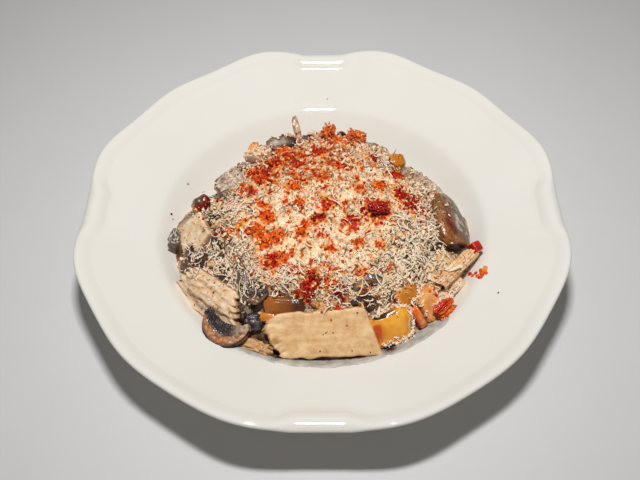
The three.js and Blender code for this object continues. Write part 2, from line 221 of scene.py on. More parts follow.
# The lip's section as steps out from the crease and up from it: on a lobe and in a notch.
LOBE_LIP = ((0, 0), (1, 0.5), (2.7, 1.7), (4.6, 2.9), (6.4, 3.9), (7.9, 4.3), (9.1, 4.2),
            (9.8, 3.6), (10, 2.6), (9.4, 1.2), (7.6, -0.6))
NOTCH_LIP = ((0, 0), (1.2, 1.1), (2.8, 2.6), (4.8, 4.1), (7, 5), (9.2, 5), (11, 4.4),
             (12.4, 3.6), (13, 2.6), (12.4, 1.0), (10.2, -0.8))
UNDERSIDE = ((130, 31.8), (118, 28.2), (104, 22.6), (96, 17.2), (88, 9.4), (80, 3.6), (77.5, 1.6),
             (75.6, 0), (69.4, 0), (67.4, 1.6), (66.6, 2.5), (60, 2.5), (30, 2.5), (0, 2.5))


def smooth_step(low, high, value):
    """0 at low, 1 at high, which may be the lower of the two, and a smooth step between them."""
    part = min(max((value - low) / (high - low), 0), 1)
    return part * part * (3 - 2 * part)


def well_height(radius):
    """The height of the level floor, curved wall, rounded shoulder and straight rim."""
    height, steps = FLOOR_HEIGHT, 40
    step = max(radius - FLOOR_RADIUS, 0) / steps
    for index in range(steps):
        at = FLOOR_RADIUS + (index + 0.5) * step
        wall = min((at - FLOOR_RADIUS) / (WALL_RADIUS - FLOOR_RADIUS), 1) * WALL_SLOPE
        turn = smooth_step(*SHOULDER, at)
        height += step * math.tan(math.radians(wall + turn * (RIM_SLOPE - WALL_SLOPE)))
    return height


def from_notch(angle):
    """The angle from the middle of the nearest notch, in degrees."""
    return abs(math.degrees(math.atan2(math.sin(4 * angle), math.cos(4 * angle)))) / 4


def lip_wave(away, weights):
    """The scallops' waves, so many degrees from a notch's middle: they leave the notch level."""
    angle = math.radians(max(away, NOTCH_FLAT))
    return -LIP_RADIUS * sum(w * math.cos(k * angle) for w, k in zip(weights, (4, 8, 12)))


well_radii = [0, 35, 60, *range(70, 98, 4), *range(97, 106, 2), 112, 120, 128]
crease_height = well_height(CREASE_RADIUS) + 0.4
section = [(radius, well_height(radius)) for radius in well_radii]
first_lip = len(section)
section += [(CREASE_RADIUS + out, crease_height + up) for out, up in LOBE_LIP]
section += UNDERSIDE

bm = bmesh.new()
row = bm.verts.layers.int.new("row")
for index, (radius, height) in enumerate(section):
    corner = bm.verts.new((radius, 0, height))
    corner[row] = index
bm.verts.ensure_lookup_table()
for index in range(len(section) - 1):
    bm.edges.new(bm.verts[index:index + 2])
bmesh.ops.spin(bm, geom=bm.verts[:] + bm.edges[:], cent=(0, 0, 0), axis=(0, 0, 1),
               angle=2 * math.pi, steps=PLATE_STEPS, use_merge=True)
bmesh.ops.remove_doubles(bm, verts=bm.verts, dist=0.01)
crease = bm.edges.layers.float.new("crease_edge")
for corner in bm.verts:
    index = corner[row]
    angle = math.atan2(corner.co.y, corner.co.x)
    radius = math.hypot(corner.co.x, corner.co.y)
    if radius < SHOULDER[1]:
        continue
    away = from_notch(angle)
    notched = 1 - smooth_step(*NOTCH_EDGES, away)
    outward = smooth_step(SHOULDER[1], CREASE_RADIUS, radius)
    radius -= outward * LIP_INSET
    inside = smooth_step(LIP_RADIUS, CREASE_RADIUS, radius)
    out = outward * (lip_wave(away, EDGE_WAVE) - inside * NOTCH_BAND * notched)
    up = outward * lip_wave(away, HEIGHT_WAVE)
    if first_lip <= index < first_lip + len(LOBE_LIP):
        lobe, cut = LOBE_LIP[index - first_lip], NOTCH_LIP[index - first_lip]
        out = lip_wave(away, EDGE_WAVE) + (cut[0] - lobe[0] - NOTCH_BAND) * notched
        up = lip_wave(away, HEIGHT_WAVE) + (cut[1] - lobe[1]) * notched
    straight = 1 + (1 / math.cos(math.radians(min(away, NOTCH_EDGES[0]))) - 1) * notched * outward
    corner.co.x = (radius + out) * straight * math.cos(angle)
    corner.co.y = (radius + out) * straight * math.sin(angle)
    corner.co.z += up
for edge in bm.edges:
    # The crease inside the lip is sharp by the notches and soft in the middle of each lobe.
    if all(corner[row] == first_lip for corner in edge.verts):
        middle = (edge.verts[0].co + edge.verts[1].co) / 2
        away = from_notch(math.atan2(middle.y, middle.x))
        edge[crease] = 0.95 - 0.75 * smooth_step(20, 30, away)
bmesh.ops.rotate(bm, verts=bm.verts, cent=(0, 0, 0), matrix=Matrix.Rotation(PLATE_TURN, 3, "Z"))
bmesh.ops.recalc_face_normals(bm, faces=bm.faces)

glaze, here = new_material("white glaze")
cloud = here.noise(45, detail=3)
speck = here.noise(1.2, detail=1).within(0.76, 0.8)
finish_material(
    glaze,
    Base_Color=(0.12 * speck).mix(cloud.mix(paint(236, 232, 222), paint(240, 237, 229)),
                                  paint(190, 180, 165)),
    Roughness=0.02 + 0.025 * here.noise(14, detail=4),
    Normal=here.noise(30, detail=2).bump(0.05),
)


def add_piece(mesh, material, nodes=()):
    """Makes a mesh, in metres, a piece of the same name that rides with the plate."""
    mesh.materials.append(material)
    piece = bpy.data.objects.new(mesh.name, mesh)
    bpy.context.scene.collection.objects.link(piece)
    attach(piece, "root")
    if nodes:
        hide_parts(*nodes)
    return piece


def put_down(name, bm, material, nodes=()):
    """Makes a shape, in millimetres, a smooth piece."""
    bmesh.ops.scale(bm, vec=(MM, MM, MM), verts=bm.verts)
    mesh = bpy.data.meshes.new(name)
    bm.to_mesh(mesh)
    bm.free()
    mesh.shade_smooth()
    return add_piece(mesh, material, nodes)


glazed_plate = put_down("glazed_plate", bm, glaze, ["plate"])
rounding = glazed_plate.modifiers.new("glaze rounding", "SUBSURF")
rounding.levels = rounding.render_levels = 1
rounding.use_limit_surface = False

# ---- the heap under it all ----
# Short pasta, mushroom and chicken in cream sauce, heaped in the well. It is the CAD heap drawn in
# by the depth of the loose pieces, with lumps in relief, and it ends just inside the porcelain.
MOUND_WIDE = 98
MOUND_BACK = 84
MOUND_HEIGHT = 48
MOUND_LUMPS = 1.3
MOUND_REACH = 96.5
CHEESE_THICK = 4.5
CORE_DEPTH = 4.2
PORCELAIN_BITE = 0.8


def blend(low, high, part):
    """A colour part of the way from low to high."""
    part = min(max(part, 0), 1)
    return tuple(a + (b - a) * part for a, b in zip(low, high))


def ripple(x, y, z, size):
    """Smooth noise, mostly between -0.6 and 0.6, with features of that many millimetres."""
    return noise.noise(Vector((x, y, z)) / size)


def near_point(point, x, y, spread):
    """1 at a place on the plan or on a lump, falling away over the spread."""
    return math.exp(-((point[0] - x) ** 2 + (point[1] - y) ** 2) / spread**2)


def waves(x, y, z, size):
    """The slow waves that make the CAD's cooked things uneven."""
    k = 2 * math.pi / size
    first = math.sin(k * x + 1.3 * math.cos(0.7 * k * y))
    second = math.sin(0.9 * k * y + 1.1 * math.sin(0.8 * k * z))
    return (first + second + math.sin(1.1 * k * z + 0.9 * math.cos(0.6 * k * x))) / 3


def mound_height(x, y):
    """The CAD mound's surface: half an ellipsoid, lumpy, and lower behind."""
    radius = math.hypot(x, y)
    behind = smooth_step(0, 0.6, y / max(radius, 1))
    foot = MOUND_WIDE + (MOUND_BACK - MOUND_WIDE) * behind
    part = min(radius / foot, 1)
    lumps = MOUND_LUMPS * waves(x, y, 0, 26) * (1 - part**4)
    return FLOOR_HEIGHT + MOUND_HEIGHT * math.sqrt(1 - part**2.2) + lumps


def hollow(x, y):
    """How much lower than the CAD mound the heap is: it falls away sooner behind."""
    left, right = 6 * near_point((x, y), -68, 44, 22), 5 * near_point((x, y), 70, 36, 24)
    return left + right + 3 * smooth_step(15, 65, y) * smooth_step(-60, -10, x)


def core_top(x, y):
    """The core lies under the cheese and the loose pieces, but never under the porcelain."""
    lumps = 2.2 * ripple(x, y, 3, 9) + 0.7 * ripple(x, y, 8, 3.5)
    free = mound_height(x, y) - hollow(x, y) - CHEESE_THICK - CORE_DEPTH + lumps
    return max(free, well_height(math.hypot(x, y)) - PORCELAIN_BITE)


def core_bottom(x, y):
    """The foot of the core bites into the porcelain, so that no gap shows."""
    return well_height(math.hypot(x, y)) - 1.5 * PORCELAIN_BITE


def core_colour(x, y):
    """Cream sauce, clouded, darker in patches and in front: partly mushroom juice, and partly
    painted shade in the gaps between the pieces.
    """
    sauce = blend(paint(150, 112, 78), paint(226, 196, 160), 0.6 + 1.2 * ripple(x, y, 5, 8))
    # The dark brown is partly mushroom juice and partly painted shade in the gaps between the pieces.
    return blend(sauce, paint(58, 38, 28), 1.5 * ripple(x, y, 9, 5) + 0.8 * smooth_step(-62, -84, y))


def tinted_material(name, grain, shade, roughness, relief, fineness=0.9, specks=None, **sockets):
    """A material in the colours that the mesh brings, clouded, uneven in gloss and in relief."""
    material, here = new_material(name)
    tint = here.node("Attribute", {"attribute_name": "tint"})
    clouds = here.noise(grain, detail=3).within(0.35, 0.75)
    colour = clouds.mix(tint, shade, blend="MULTIPLY")
    if specks:
        size, share, dark = specks
        colour = here.noise(size, detail=2).within(share, share + 0.05).mix(colour, dark)
    low, high = roughness
    finish_material(
        material,
        Base_Color=colour,
        Roughness=low + (high - low) * here.noise(2.5, detail=1),
        Normal=here.noise(fineness, detail=2, roughness=0.6).bump(relief),
        **sockets,
    )
    return material


food = []
sauce = tinted_material("cream sauce", 2.5, paint(205, 180, 160), (0.25, 0.5), 0.5)

# A sphere is flattened to a closed blanket: its upper half is the core's top, the lower its foot.
bm = bmesh.new()
bmesh.ops.create_uvsphere(bm, u_segments=200, v_segments=88, radius=1)
tint = bm.verts.layers.float_color.new("tint")
for corner in bm.verts:
    angle = math.atan2(corner.co.y, corner.co.x)
    radius = math.acos(min(abs(corner.co.z), 1)) / (math.pi / 2) * MOUND_REACH
    x, y = radius * math.cos(angle), radius * math.sin(angle)
    foot = core_bottom(x, y)
    upper = smooth_step(-0.001, 0.001, corner.co.z)
    corner.co = (x, y, foot + upper * (core_top(x, y) - foot))
    corner[tint] = (*core_colour(x, y), 1)
food.append(put_down("heap_core", bm, sauce, ["pasta_mound"]))

# ---- the sliced chicken ----
# Slices of breast, pale from the sauce, each cut square at one end and torn along the grain at
# the other. A block is mapped to a slab with round edges, then drawn out, torn and ruffled.
SLICE_EDGE = 1.5


def block(size, cell):
    """A cube from -1 to 1 in cells that are so many millimetres once it has that size."""
    bm = bmesh.new()
    bmesh.ops.create_cube(bm, size=2)
    for axis, length in enumerate(size):
        edges = [edge for edge in bm.edges
                 if abs(edge.verts[0].co[axis] - edge.verts[1].co[axis]) > 1]
        cuts = max(round(length / cell) - 1, 1)
        bmesh.ops.subdivide_edges(bm, edges=edges, cuts=cuts, use_grid_fill=True)
    return bm


def knead(bm, shape):
    """Moves each corner of a block to its place and colours it, both as shape says."""
    tint = bm.verts.layers.float_color.new("tint")
    for corner in bm.verts:
        place, colour = shape(*corner.co)
        corner.co = place
        corner[tint] = (*colour, 1)
    return bm


def turned(bm, turn, lean, roll):
    """The shape, turned about Y, then X, then Z."""
    for degrees, axis in ((roll, "Y"), (lean, "X"), (turn, "Z")):
        matrix = Matrix.Rotation(math.radians(degrees), 3, axis)
        bmesh.ops.rotate(bm, verts=bm.verts, cent=(0, 0, 0), matrix=matrix)
    return bm


def serve(node, bm, material, slot, turn=0, lean=0, roll=0, sink=0):
    """Turns a piece and centres it in its CAD node's box, or a little lower."""
    turned(bm, turn, lean, roll)
    corners = np.array([corner.co for corner in bm.verts])
    middle = Vector((corners.min(0) + corners.max(0)) / 2)
    low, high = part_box(node)
    bmesh.ops.translate(bm, verts=bm.verts, vec=(low + high) / 2 / MM - middle - Vector((0, 0, sink)))
    bmesh.ops.recalc_face_normals(bm, faces=bm.faces)
    food.append(put_down(node + "_cooked", bm, material, [node]))


def rounded(point, half, edge):
    """A point on a box, moved onto the box with its edges rounded."""
    inner = Vector([min(max(p, edge - h), h - edge) for p, h in zip(point, half)])
    away = point - inner
    return inner + away * (edge / away.length) if away.length > 0 else point


def chicken_shape(size, slant, seed, torn_from=-0.35, shredded=0, creamy=0):
    """A slice along X, cut aslant at +X, torn beyond torn_from, pulled to shreds or creamy."""
    half = Vector(size) / 2
    edge = min(SLICE_EDGE, 0.45 * half.z)

    def shape(u, v, w):
        x, y, z = rounded(Vector((u * half.x, v * half.y, w * half.z)), half, edge)
        across = y / half.y
        x -= smooth_step(0, 1, u) * slant * (across + 1) / 2
        x *= 1 - smooth_step(0, -1, u) * 0.28 * abs(across - 0.1) ** 2.2
        if across > 0:
            y *= 1 - 0.1 * smooth_step(0.9, -0.2, u)
        torn = smooth_step(torn_from, torn_from - 0.45, u)
        skewed = y - 0.45 * x
        ragged = 1.1 * ripple(0, skewed, seed, 1.4) + 4 * ripple(0, skewed, seed + 5, 6)
        x += torn * ragged
        y += abs(across) ** 4 * 0.9 * ripple(x, 0, seed + 9, 5)
        fibre = ripple(0.1 * x, y + 0.06 * x, seed, 0.95)
        strands = ripple(0.22 * (x + y), skewed, seed + 3, 2.2)
        swell = ripple(x, y, seed, 13)
        z += 0.12 * fibre + 1.1 * swell + torn * 1.3 * strands
        z -= 0.35 * torn * smooth_step(torn_from - 0.35, -1, u) * half.z * (w > 0)
        cloud = 0.5 + 1.0 * ripple(x, y, seed + 20, 9) + 0.6 * ripple(0.12 * x, y, seed, 2.2)
        colour = blend(CHICKEN_TAN, CHICKEN_PALE, cloud)
        # Painted shade in the grooves between the fibres.
        colour = blend(colour, CHICKEN_GROOVE_SHADE, -0.6 * fibre - 0.2)
        # Torn meat is paler, with painted light on its raised strands and painted shade between them.
        colour = blend(colour, CHICKEN_PALE, torn * (0.35 + 0.8 * strands))
        colour = blend(colour, CHICKEN_GROOVE_SHADE, torn * (-1.7 * strands - 0.15))
        bundle = shredded * ripple(0.12 * x, y + 0.1 * x, seed + 30, 3.6)
        z += 1.6 * bundle + 0.6 * shredded * ripple(0.16 * x, y, seed + 31, 1.1)
        x += shredded * smooth_step(0.4, 1, abs(u)) * 4 * ripple(0, y, seed + 32, 2.2)
        # Painted shade in the gaps between the bundles, darkest in the deepest.
        colour = blend(colour, CHICKEN_GROOVE_SHADE, smooth_step(-0.05, -0.4, bundle))
        colour = blend(colour, paint(96, 62, 42), smooth_step(-0.3, -0.5, bundle))
        colour = blend(colour, paint(252, 230, 206), creamy * (0.8 + ripple(x, y, seed, 3)))
        # Painted shade over the underside and the lower edges of the slice.
        side = smooth_step(0.75, -0.2, w)
        return (x, y, z), blend(colour, CHICKEN_GROOVE_SHADE, 0.75 * side)

    return shape


CHICKEN_PALE = paint(246, 208, 156)
CHICKEN_TAN = paint(230, 184, 128)
# The groove colour is painted shade: in grooves, between strands and bundles, and under the meat.
CHICKEN_GROOVE_SHADE = paint(170, 116, 68)

meat = tinted_material("poached chicken", 3.5, paint(232, 218, 200), (0.4, 0.65), 0.14,
                       Coat_Weight=0.12, Coat_Roughness=0.25)
for node, size, slant, place in (
    ("chicken_slice_front", (64, 27, 7), 9, {"turn": 2, "lean": 38}),
    ("chicken_slice_left", (27, 22, 6), 6, {"turn": -72, "lean": 40}),
    ("chicken_strip_upper", (40, 15, 6), 4, {"turn": -38, "lean": 38, "roll": -4}),
    ("chicken_strip_lower", (52, 17, 6), 5, {"turn": -41, "lean": 48, "roll": -6}),
    ("chicken_slice_right", (27, 16, 6), 3, {"turn": 48, "lean": 42}),
    ("chicken_slice_back_left", (17, 14, 6), 3, {"turn": 215, "lean": 32}),
):
    torn_from = {"chicken_slice_front": -0.6, "chicken_slice_left": -0.5}.get(node, 0.2)
    shredded = 1 if "strip" in node else 0
    creamy = {"chicken_slice_back_left": 1, "chicken_slice_left": 0.7}.get(node, 0.6 * shredded)
    shape = chicken_shape(size, slant, 40 + size[0], torn_from, shredded, creamy)
    serve(node, knead(block(size, 0.62), shape), meat, "chicken", **place)


def lump_shape(size, look, squareness=1.6, bend=0, seed=0, relief=0.5, grain=3.0, taper=0):
    """A rounded lump. look gives the colour, and how deep it is dented, at each point of it."""
    half = Vector(size) / 2

    def shape(u, v, w):
        unit = Vector((u, v, w)).normalized()
        colour, dent = look(unit, seed)
        rough = relief * (ripple(*(unit * half.x), grain) + 0.5 * ripple(*(unit * half.x), grain / 2.5))
        swell = 1 + (rough * 2 - dent) / min(half)
        point = [math.copysign(abs(part) ** (1 / squareness), part) * side * swell
                 for part, side in zip(unit, half)]
        point[1] *= 1 + taper * unit.x
        if bend:
            radius = size[0] / math.radians(bend)
            angle = point[0] / radius
            reach = radius + point[2]
            point = reach * math.sin(angle), point[1], reach * math.cos(angle) - radius
        return point, colour

    return shape


def meat_look(unit, seed):
    """Torn meat: long fine fibres with painted shade, browner, in the grooves between them."""
    grain = ripple(0.4 * unit.x, 5 * unit.y, seed, 0.6)
    return blend(CHICKEN_TAN, CHICKEN_GROOVE_SHADE, 0.25 - grain), 0.5 * grain


for node, size, place in (
    ("chicken_bit_left", (23, 6.5, 4.5), {"turn": -22, "lean": 25}),
    ("chicken_bit_front", (16, 9, 6), {"turn": 10, "lean": 40}),
):
    shape = lump_shape(size, meat_look, seed=size[0], relief=0.6)
    serve(node, knead(block(size, 0.5), shape), meat, "chicken", **place)

# ---- the mushrooms ----
# Slices through brown caps, with the dark skin on the outside of the curve, then the flesh, then
# purple-black gills, wet with sauce; and whole small caps, stems and bits as rounded lumps.
FLESH = paint(222, 146, 90)
PALE_FLESH = paint(240, 196, 146)
SKIN = paint(52, 36, 28)
GILLS = paint(44, 32, 34)
# Painted highlight on the crests of the gill ridges.
GILL_RIDGE_HIGHLIGHT = paint(96, 78, 78)


def mushroom_shape(cap, dome, thickness, seed, stem=0, stem_length=0, flesh=FLESH, gill_part=0.3,
                   gills_from=-2):
    """A slice along X of a cap whose skin is towards +Y, over its gills, with a stem if any."""

    def shape(u, v, w):
        away = abs(u)
        skin = dome * (math.sqrt(1 - away**2.4) - 0.1 * away)
        curl = smooth_step(0.6, 0.86, away) - smooth_step(0.86, 1, away)
        under = -dome * (0.12 * smooth_step(0.1, 0.64, away) + 0.2 * curl)
        on_stem = 1 - smooth_step(stem / cap, stem / cap + 0.12, away) if stem else 0
        under -= on_stem * stem_length
        skin = max(skin, under + 0.5)
        part = (v + 1) / 2
        x = cap / 2 * u + 0.5 * ripple(u, v, seed, 0.5)
        y = under + (skin - under) * part + 0.6 * ripple(u, 0, seed, 0.35)
        gills = (1 - smooth_step(gill_part, gill_part + 0.14, part)) * (1 - on_stem)
        gills *= smooth_step(gills_from, gills_from + 0.5, u)
        rind = smooth_step(0.86, 0.97, part)
        ridge = math.sin(2.3 * cap * u + 3 * ripple(u, v, seed, 0.3))
        z = w * thickness / 2 * (1 - 0.35 * rind - gills * (0.3 - 0.1 * ridge))
        z += 0.8 * ripple(x, y, seed, 9) + 0.25 * ripple(x, y, seed, 2)
        colour = blend(flesh, PALE_FLESH, 0.2 + 0.9 * ripple(x, y, seed + 4, 5))
        colour = blend(colour, paint(96, 62, 44), smooth_step(gill_part + 0.3, gill_part, part))
        colour = blend(colour, paint(120, 80, 52), 0.8 * smooth_step(0.7, 0.9, part))
        # Dark gills, paler with painted highlight on their ridge crests.
        colour = blend(colour, blend(GILLS, GILL_RIDGE_HIGHLIGHT, 0.2 + 0.5 * ridge), gills)
        bare = smooth_step(gills_from + 0.5, gills_from, u) * smooth_step(0.6, 0.3, part)
        colour = blend(colour, paint(226, 196, 164), bare * (0.75 + 0.15 * ridge))
        return (x, y, z), blend(colour, SKIN, rind)

    return shape


mushroom = tinted_material("cooked mushroom", 1.8, paint(170, 150, 140), (0.16, 0.42), 0.3,
                           Coat_Weight=0.35, Coat_Roughness=0.12)
creamed = tinted_material("mushroom in cream", 1.6, paint(176, 160, 150), (0.4, 0.65), 0.5)
GREY_FLESH = paint(214, 186, 160)
DARK_FLESH = paint(96, 72, 58)
for node, cap, dome, stem, thickness, flesh, gill_part, place in (
    ("mushroom_slice_back_right", 30, 14, (), 5, GREY_FLESH, 0.2,
     {"turn": -32, "lean": -42, "roll": 14}),
    ("mushroom_slice_front_left", 28, 14, (), 5, FLESH, 0.42, {"turn": 150, "lean": -25}),
    ("mushroom_slice_front", 24, 12, (6, 6), 5, DARK_FLESH, 0.4, {"turn": 12, "lean": 40}),
    ("mushroom_slice_left", 24, 11, (7, 8), 4.5, DARK_FLESH, 0.4, {"turn": 110, "lean": -38}),
    ("mushroom_slice_gills_up", 17, 8, (5, 6), 4.5, DARK_FLESH, 0.5, {"turn": 165, "lean": -35}),
):
    gills_from = {"mushroom_slice_front_left": -0.75, "mushroom_slice_back_right": 2}.get(node, -2)
    shape = mushroom_shape(cap, dome, thickness, cap + dome, *stem, flesh=flesh, gill_part=gill_part,
                           gills_from=gills_from)
    bm = knead(block((1.4 * cap, 1.6 * dome, thickness), 0.62), shape)
    serve(node, bm, mushroom, "mushroom", **place)


def cap_look(unit, seed):
    """Half a large cap: brown flesh in two lobes, stained red, and a grey rim with pale patches of
    painted highlight and a red edge.
    """
    across = 0.81 * unit.y + 0.58 * unit.z
    spot = Vector((unit.x, across, 0))
    clouds = ripple(*unit, 0.35)
    split = unit.x - 0.2 * across
    upper = smooth_step(0.12, -0.08, split)
    colour = blend(paint(168, 98, 42), paint(152, 110, 64), upper + 0.7 * clouds)
    colour = blend(colour, paint(204, 164, 116), 0.8 * upper * smooth_step(-0.14, -0.02, split))
    colour = blend(colour, paint(128, 30, 10), 1.6 * near_point(spot, 0.15, 0.2, 0.24) + 0.4 * clouds)
    colour = blend(colour, paint(150, 36, 12), 1.2 * near_point(spot, -0.25, 0.3, 0.12))
    colour = blend(colour, paint(48, 36, 22), 1.2 * near_point(spot, 0.42, 0.3, 0.13))
    grey = smooth_step(0.42, 0.6, across + 0.2 * clouds)
    colour = blend(colour, paint(112, 86, 58), grey)
    # Pale patches of painted highlight on the grey rim.
    colour = blend(colour, paint(206, 190, 162), grey * smooth_step(0.05, 0.35, ripple(*unit, 0.22)))
    dark_rim = smooth_step(0.86, 0.93, across) * smooth_step(0.4, 0.2, unit.x)
    red_rim = smooth_step(0.78, 0.88, across) * smooth_step(0.2, 0.4, unit.x)
    colour = blend(colour, paint(48, 36, 26), dark_rim)
    colour = blend(colour, paint(178, 16, 8), red_rim)
    colour = blend(colour, paint(70, 44, 28), smooth_step(-0.8, -0.92, across))
    far_end = smooth_step(0.8, 0.92, unit.x) * smooth_step(0.6, 0.2, across)
    return blend(colour, paint(42, 28, 20), far_end), 0.3 * upper * smooth_step(-0.1, 0.0, split)


def brown_look(unit, seed):
    """Brown skin, darker at its sides."""
    colour = blend(paint(150, 116, 82), paint(110, 78, 56), 0.5 + 1.6 * ripple(*unit, 0.5))
    return blend(colour, paint(58, 40, 32), 1.3 * smooth_step(0.5, 0.9, abs(unit.y))), 0


def chilli_cap_look(unit, seed):
    """A brown cap with oily chilli stuck over its near side, orange at the far left."""
    colour = blend(paint(138, 96, 66), paint(88, 58, 44), 0.5 + 1.6 * ripple(*unit, 0.5))
    up = 0.79 * unit.y + 0.61 * unit.z
    red = blend(paint(170, 22, 8), paint(96, 12, 6), 0.5 + 2 * ripple(*unit, 0.45))
    colour = blend(colour, red, smooth_step(0.5, 0.2, up + 0.5 * ripple(*unit, 0.6)))
    colour = blend(colour, paint(244, 140, 30), smooth_step(-0.2, -0.45, unit.x + 0.3 * up))
    return colour, 0.4 * abs(ripple(*unit, 0.4))


def dark_look(unit, seed):
    """Black gills with a grey bloom, crumpled."""
    colour = blend(paint(52, 40, 42), paint(110, 98, 100), 0.2 + 1.4 * ripple(*unit, 0.35))
    return colour, 0.5 * abs(ripple(*unit, 0.5))


def speckled_look(unit, seed):
    """Dark, with cream and cheese stuck to it."""
    colour = blend(paint(74, 58, 50), paint(120, 104, 92), 0.5 + ripple(*unit, 0.5))
    return blend(colour, paint(226, 214, 196), smooth_step(0, 0.3, ripple(*(unit * 1.1), 0.28))), 0


def grey_cap_look(unit, seed):
    """The outside of a cap: grey-brown skin, streaked, with a pale patch of painted highlight."""
    streak = ripple(6 * unit.x, unit.y, seed, 1.6)
    colour = blend(paint(132, 112, 90), paint(66, 52, 40), 0.4 + 0.9 * streak + 0.6 * unit.x)
    # The pale patch is painted highlight.
    return blend(colour, paint(214, 200, 186), 1.2 * near_point(unit, -0.35, -0.5, 0.447)), 0


def pale_cap_look(unit, seed):
    """The cut face of a cap under a film of cream, with a dark rim on the left."""
    colour = blend(paint(240, 220, 196), paint(206, 184, 160), 0.5 + 1.4 * ripple(*unit, 0.5))
    rim = math.exp(-((math.hypot(unit.x, unit.y) - 0.78) / 0.1) ** 2) * smooth_step(0.3, -0.3, unit.x)
    colour = blend(colour, paint(112, 86, 68), 0.9 * rim)
    colour = blend(colour, paint(126, 98, 78), 0.8 * near_point(unit, -0.15, 0.25, 0.22))
    return colour, 0.3 * near_point(unit, -0.15, 0.25, 0.3)


def stem_look(unit, seed):
    """A stem cut lengthwise: fine grey-brown streaks and a paler middle."""
    colour = blend(paint(136, 112, 92), paint(104, 82, 68), 0.5 + ripple(unit.x, 6 * unit.y, seed, 0.8))
    return blend(colour, paint(176, 158, 146), 0.8 * math.exp(-(unit.y / 0.2) ** 2)), 0


def tan_look(unit, seed):
    """A pale stem with one red drop near its tip."""
    colour = blend(paint(236, 190, 146), paint(190, 140, 100), 0.4 + 1.4 * ripple(*unit, 0.5))
    return blend(colour, paint(190, 60, 30), 3 * near_point(unit, -0.5, 0, 0.1732)), 0


for node, size, look, options, place in (
    ("mushroom_cap_right", (38, 26, 11), cap_look,
     {"squareness": 1.3, "relief": 0.1, "grain": 6, "taper": 0.22}, {"turn": -64, "lean": -38, "roll": 18}),
    ("mushroom_stem_back", (19, 3.8, 3.8), tan_look, {"bend": 35}, {"turn": 104, "roll": -35}),
    ("mushroom_cap_back", (19, 10, 6.5), grey_cap_look, {"squareness": 1.3, "relief": 0.15},
     {"turn": 8, "lean": -12, "sink": 1.6}),
    ("mushroom_cap_back_left", (19, 14, 8), pale_cap_look, {"squareness": 1.3, "relief": 0.2},
     {"turn": 28, "roll": -26, "lean": 6}),
    ("mushroom_button_left", (12, 10, 8), chilli_cap_look, {}, {"turn": 10, "roll": -30}),
    ("mushroom_button_front", (11, 10, 9), dark_look, {}, {"lean": 45}),
    ("mushroom_stem_left", (40, 9, 5.5), stem_look, {"bend": 30}, {"turn": -78, "lean": -25, "roll": 24}),
    ("mushroom_bit_left", (11.5, 6.5, 5), speckled_look, {}, {"turn": 80, "lean": 30}),
):
    shape = lump_shape(size, look, seed=size[0], **({"relief": 0.3} | options))
    skin = creamed if "cap_back" in node else mushroom
    serve(node, knead(block(size, 0.5), shape), skin, "mushroom", **place)

# ---- the pasta ----
# A ridged tube cut slantwise, spun from its wall's section, with painted shade in its grooves and
# inside it, and short golden pieces as lumps with painted shade for the dark hollows at their ends
# where they are open.
TUBE = {"length": 33, "diameter": 8.6, "wall": 1.2, "slant": 5, "ridges": 13}

pasta = tinted_material("pasta in sauce", 2.2, paint(220, 196, 168), (0.3, 0.5), 0.12,
                        Coat_Weight=0.25, Coat_Roughness=0.2)
golden = tinted_material("golden pasta", 2.5, paint(244, 226, 204), (0.16, 0.34), 0.1,
                         Coat_Weight=0.4, Coat_Roughness=0.1)


def tube(length, diameter, wall, slant, ridges, cell=0.7):
    """A ridged tube along X. A grid is wrapped round its wall, out, over the end and back in."""
    bm = bmesh.new()
    around, along = ridges * 7, round(length / cell)
    lap = 2 * along + 4
    bmesh.ops.create_grid(bm, x_segments=around, y_segments=lap, size=0.5)
    tint = bm.verts.layers.float_color.new("tint")
    for corner in bm.verts:
        turn = (corner.co.x + 0.5) * 2 * math.pi
        step = (corner.co.y + 0.5) * lap
        out = step <= along
        inside = along + 2 <= step <= 2 * along + 2
        radius = diameter / 2 if out else diameter / 2 - wall
        if out:
            x = step / along
            radius -= 0.28 - 0.28 * math.cos(ridges * turn)
        elif inside:
            x = 1 - (step - along - 2) / along
        else:
            x = 1.0 if step < 2 * along else 0.0
            radius = diameter / 2 - wall / 2
        x = (x - 0.5) * length
        y, z = radius * math.cos(turn), radius * math.sin(turn)
        sag = 0.5 * ripple(x, 0, 3, 9)
        # The grooves between the ridges are darkened with painted shade.
        groove = 0.5 - 0.5 * math.cos(ridges * turn)
        colour = blend(paint(255, 220, 172), paint(226, 160, 108), 0.7 * groove + ripple(x, y, z, 4))
        # Painted shade: the inside of the tube and its cut ends are dark brown.
        colour = blend(colour, paint(110, 70, 46), 0.9 * (not out))
        corner.co = (x - slant * y / diameter, y, z * (1 + 0.1 * ripple(x, 0, 7, 8)) + sag)
        corner[tint] = (*colour, 1)
    bmesh.ops.remove_doubles(bm, verts=bm.verts, dist=0.002)
    return bm


serve("pasta_tube", tube(**TUBE), pasta, "pasta", turn=46)


def fat_tube_look(unit, seed):
    """Amber, stained red at the left, with painted shade for its dark open ends above and below on
    the left, and for the dark middle of the pale-rimmed opening on the right.
    """
    colour = blend(paint(255, 186, 66), paint(234, 148, 44), 0.4 + 1.2 * ripple(*unit, 0.6))
    colour = blend(colour, paint(206, 84, 28), 1.5 * near_point(unit, -0.62, 0.1, 0.26))
    # hollow and eye are painted shade inside the openings.
    hollow = smooth_step(0.6, 0.76, abs(unit.y + 0.04)) * smooth_step(0.25, -0.1, unit.x)
    ring = math.exp(-((math.hypot(unit.x - 0.75, unit.y + 0.1) - 0.2) / 0.07) ** 2)
    eye = near_point(unit, 0.75, -0.1, 0.13)
    colour = blend(colour, paint(66, 38, 22), hollow)
    colour = blend(colour, paint(232, 206, 172), ring)
    return blend(colour, paint(120, 78, 62), eye), 1.2 * hollow + 0.8 * eye - 0.3 * ring


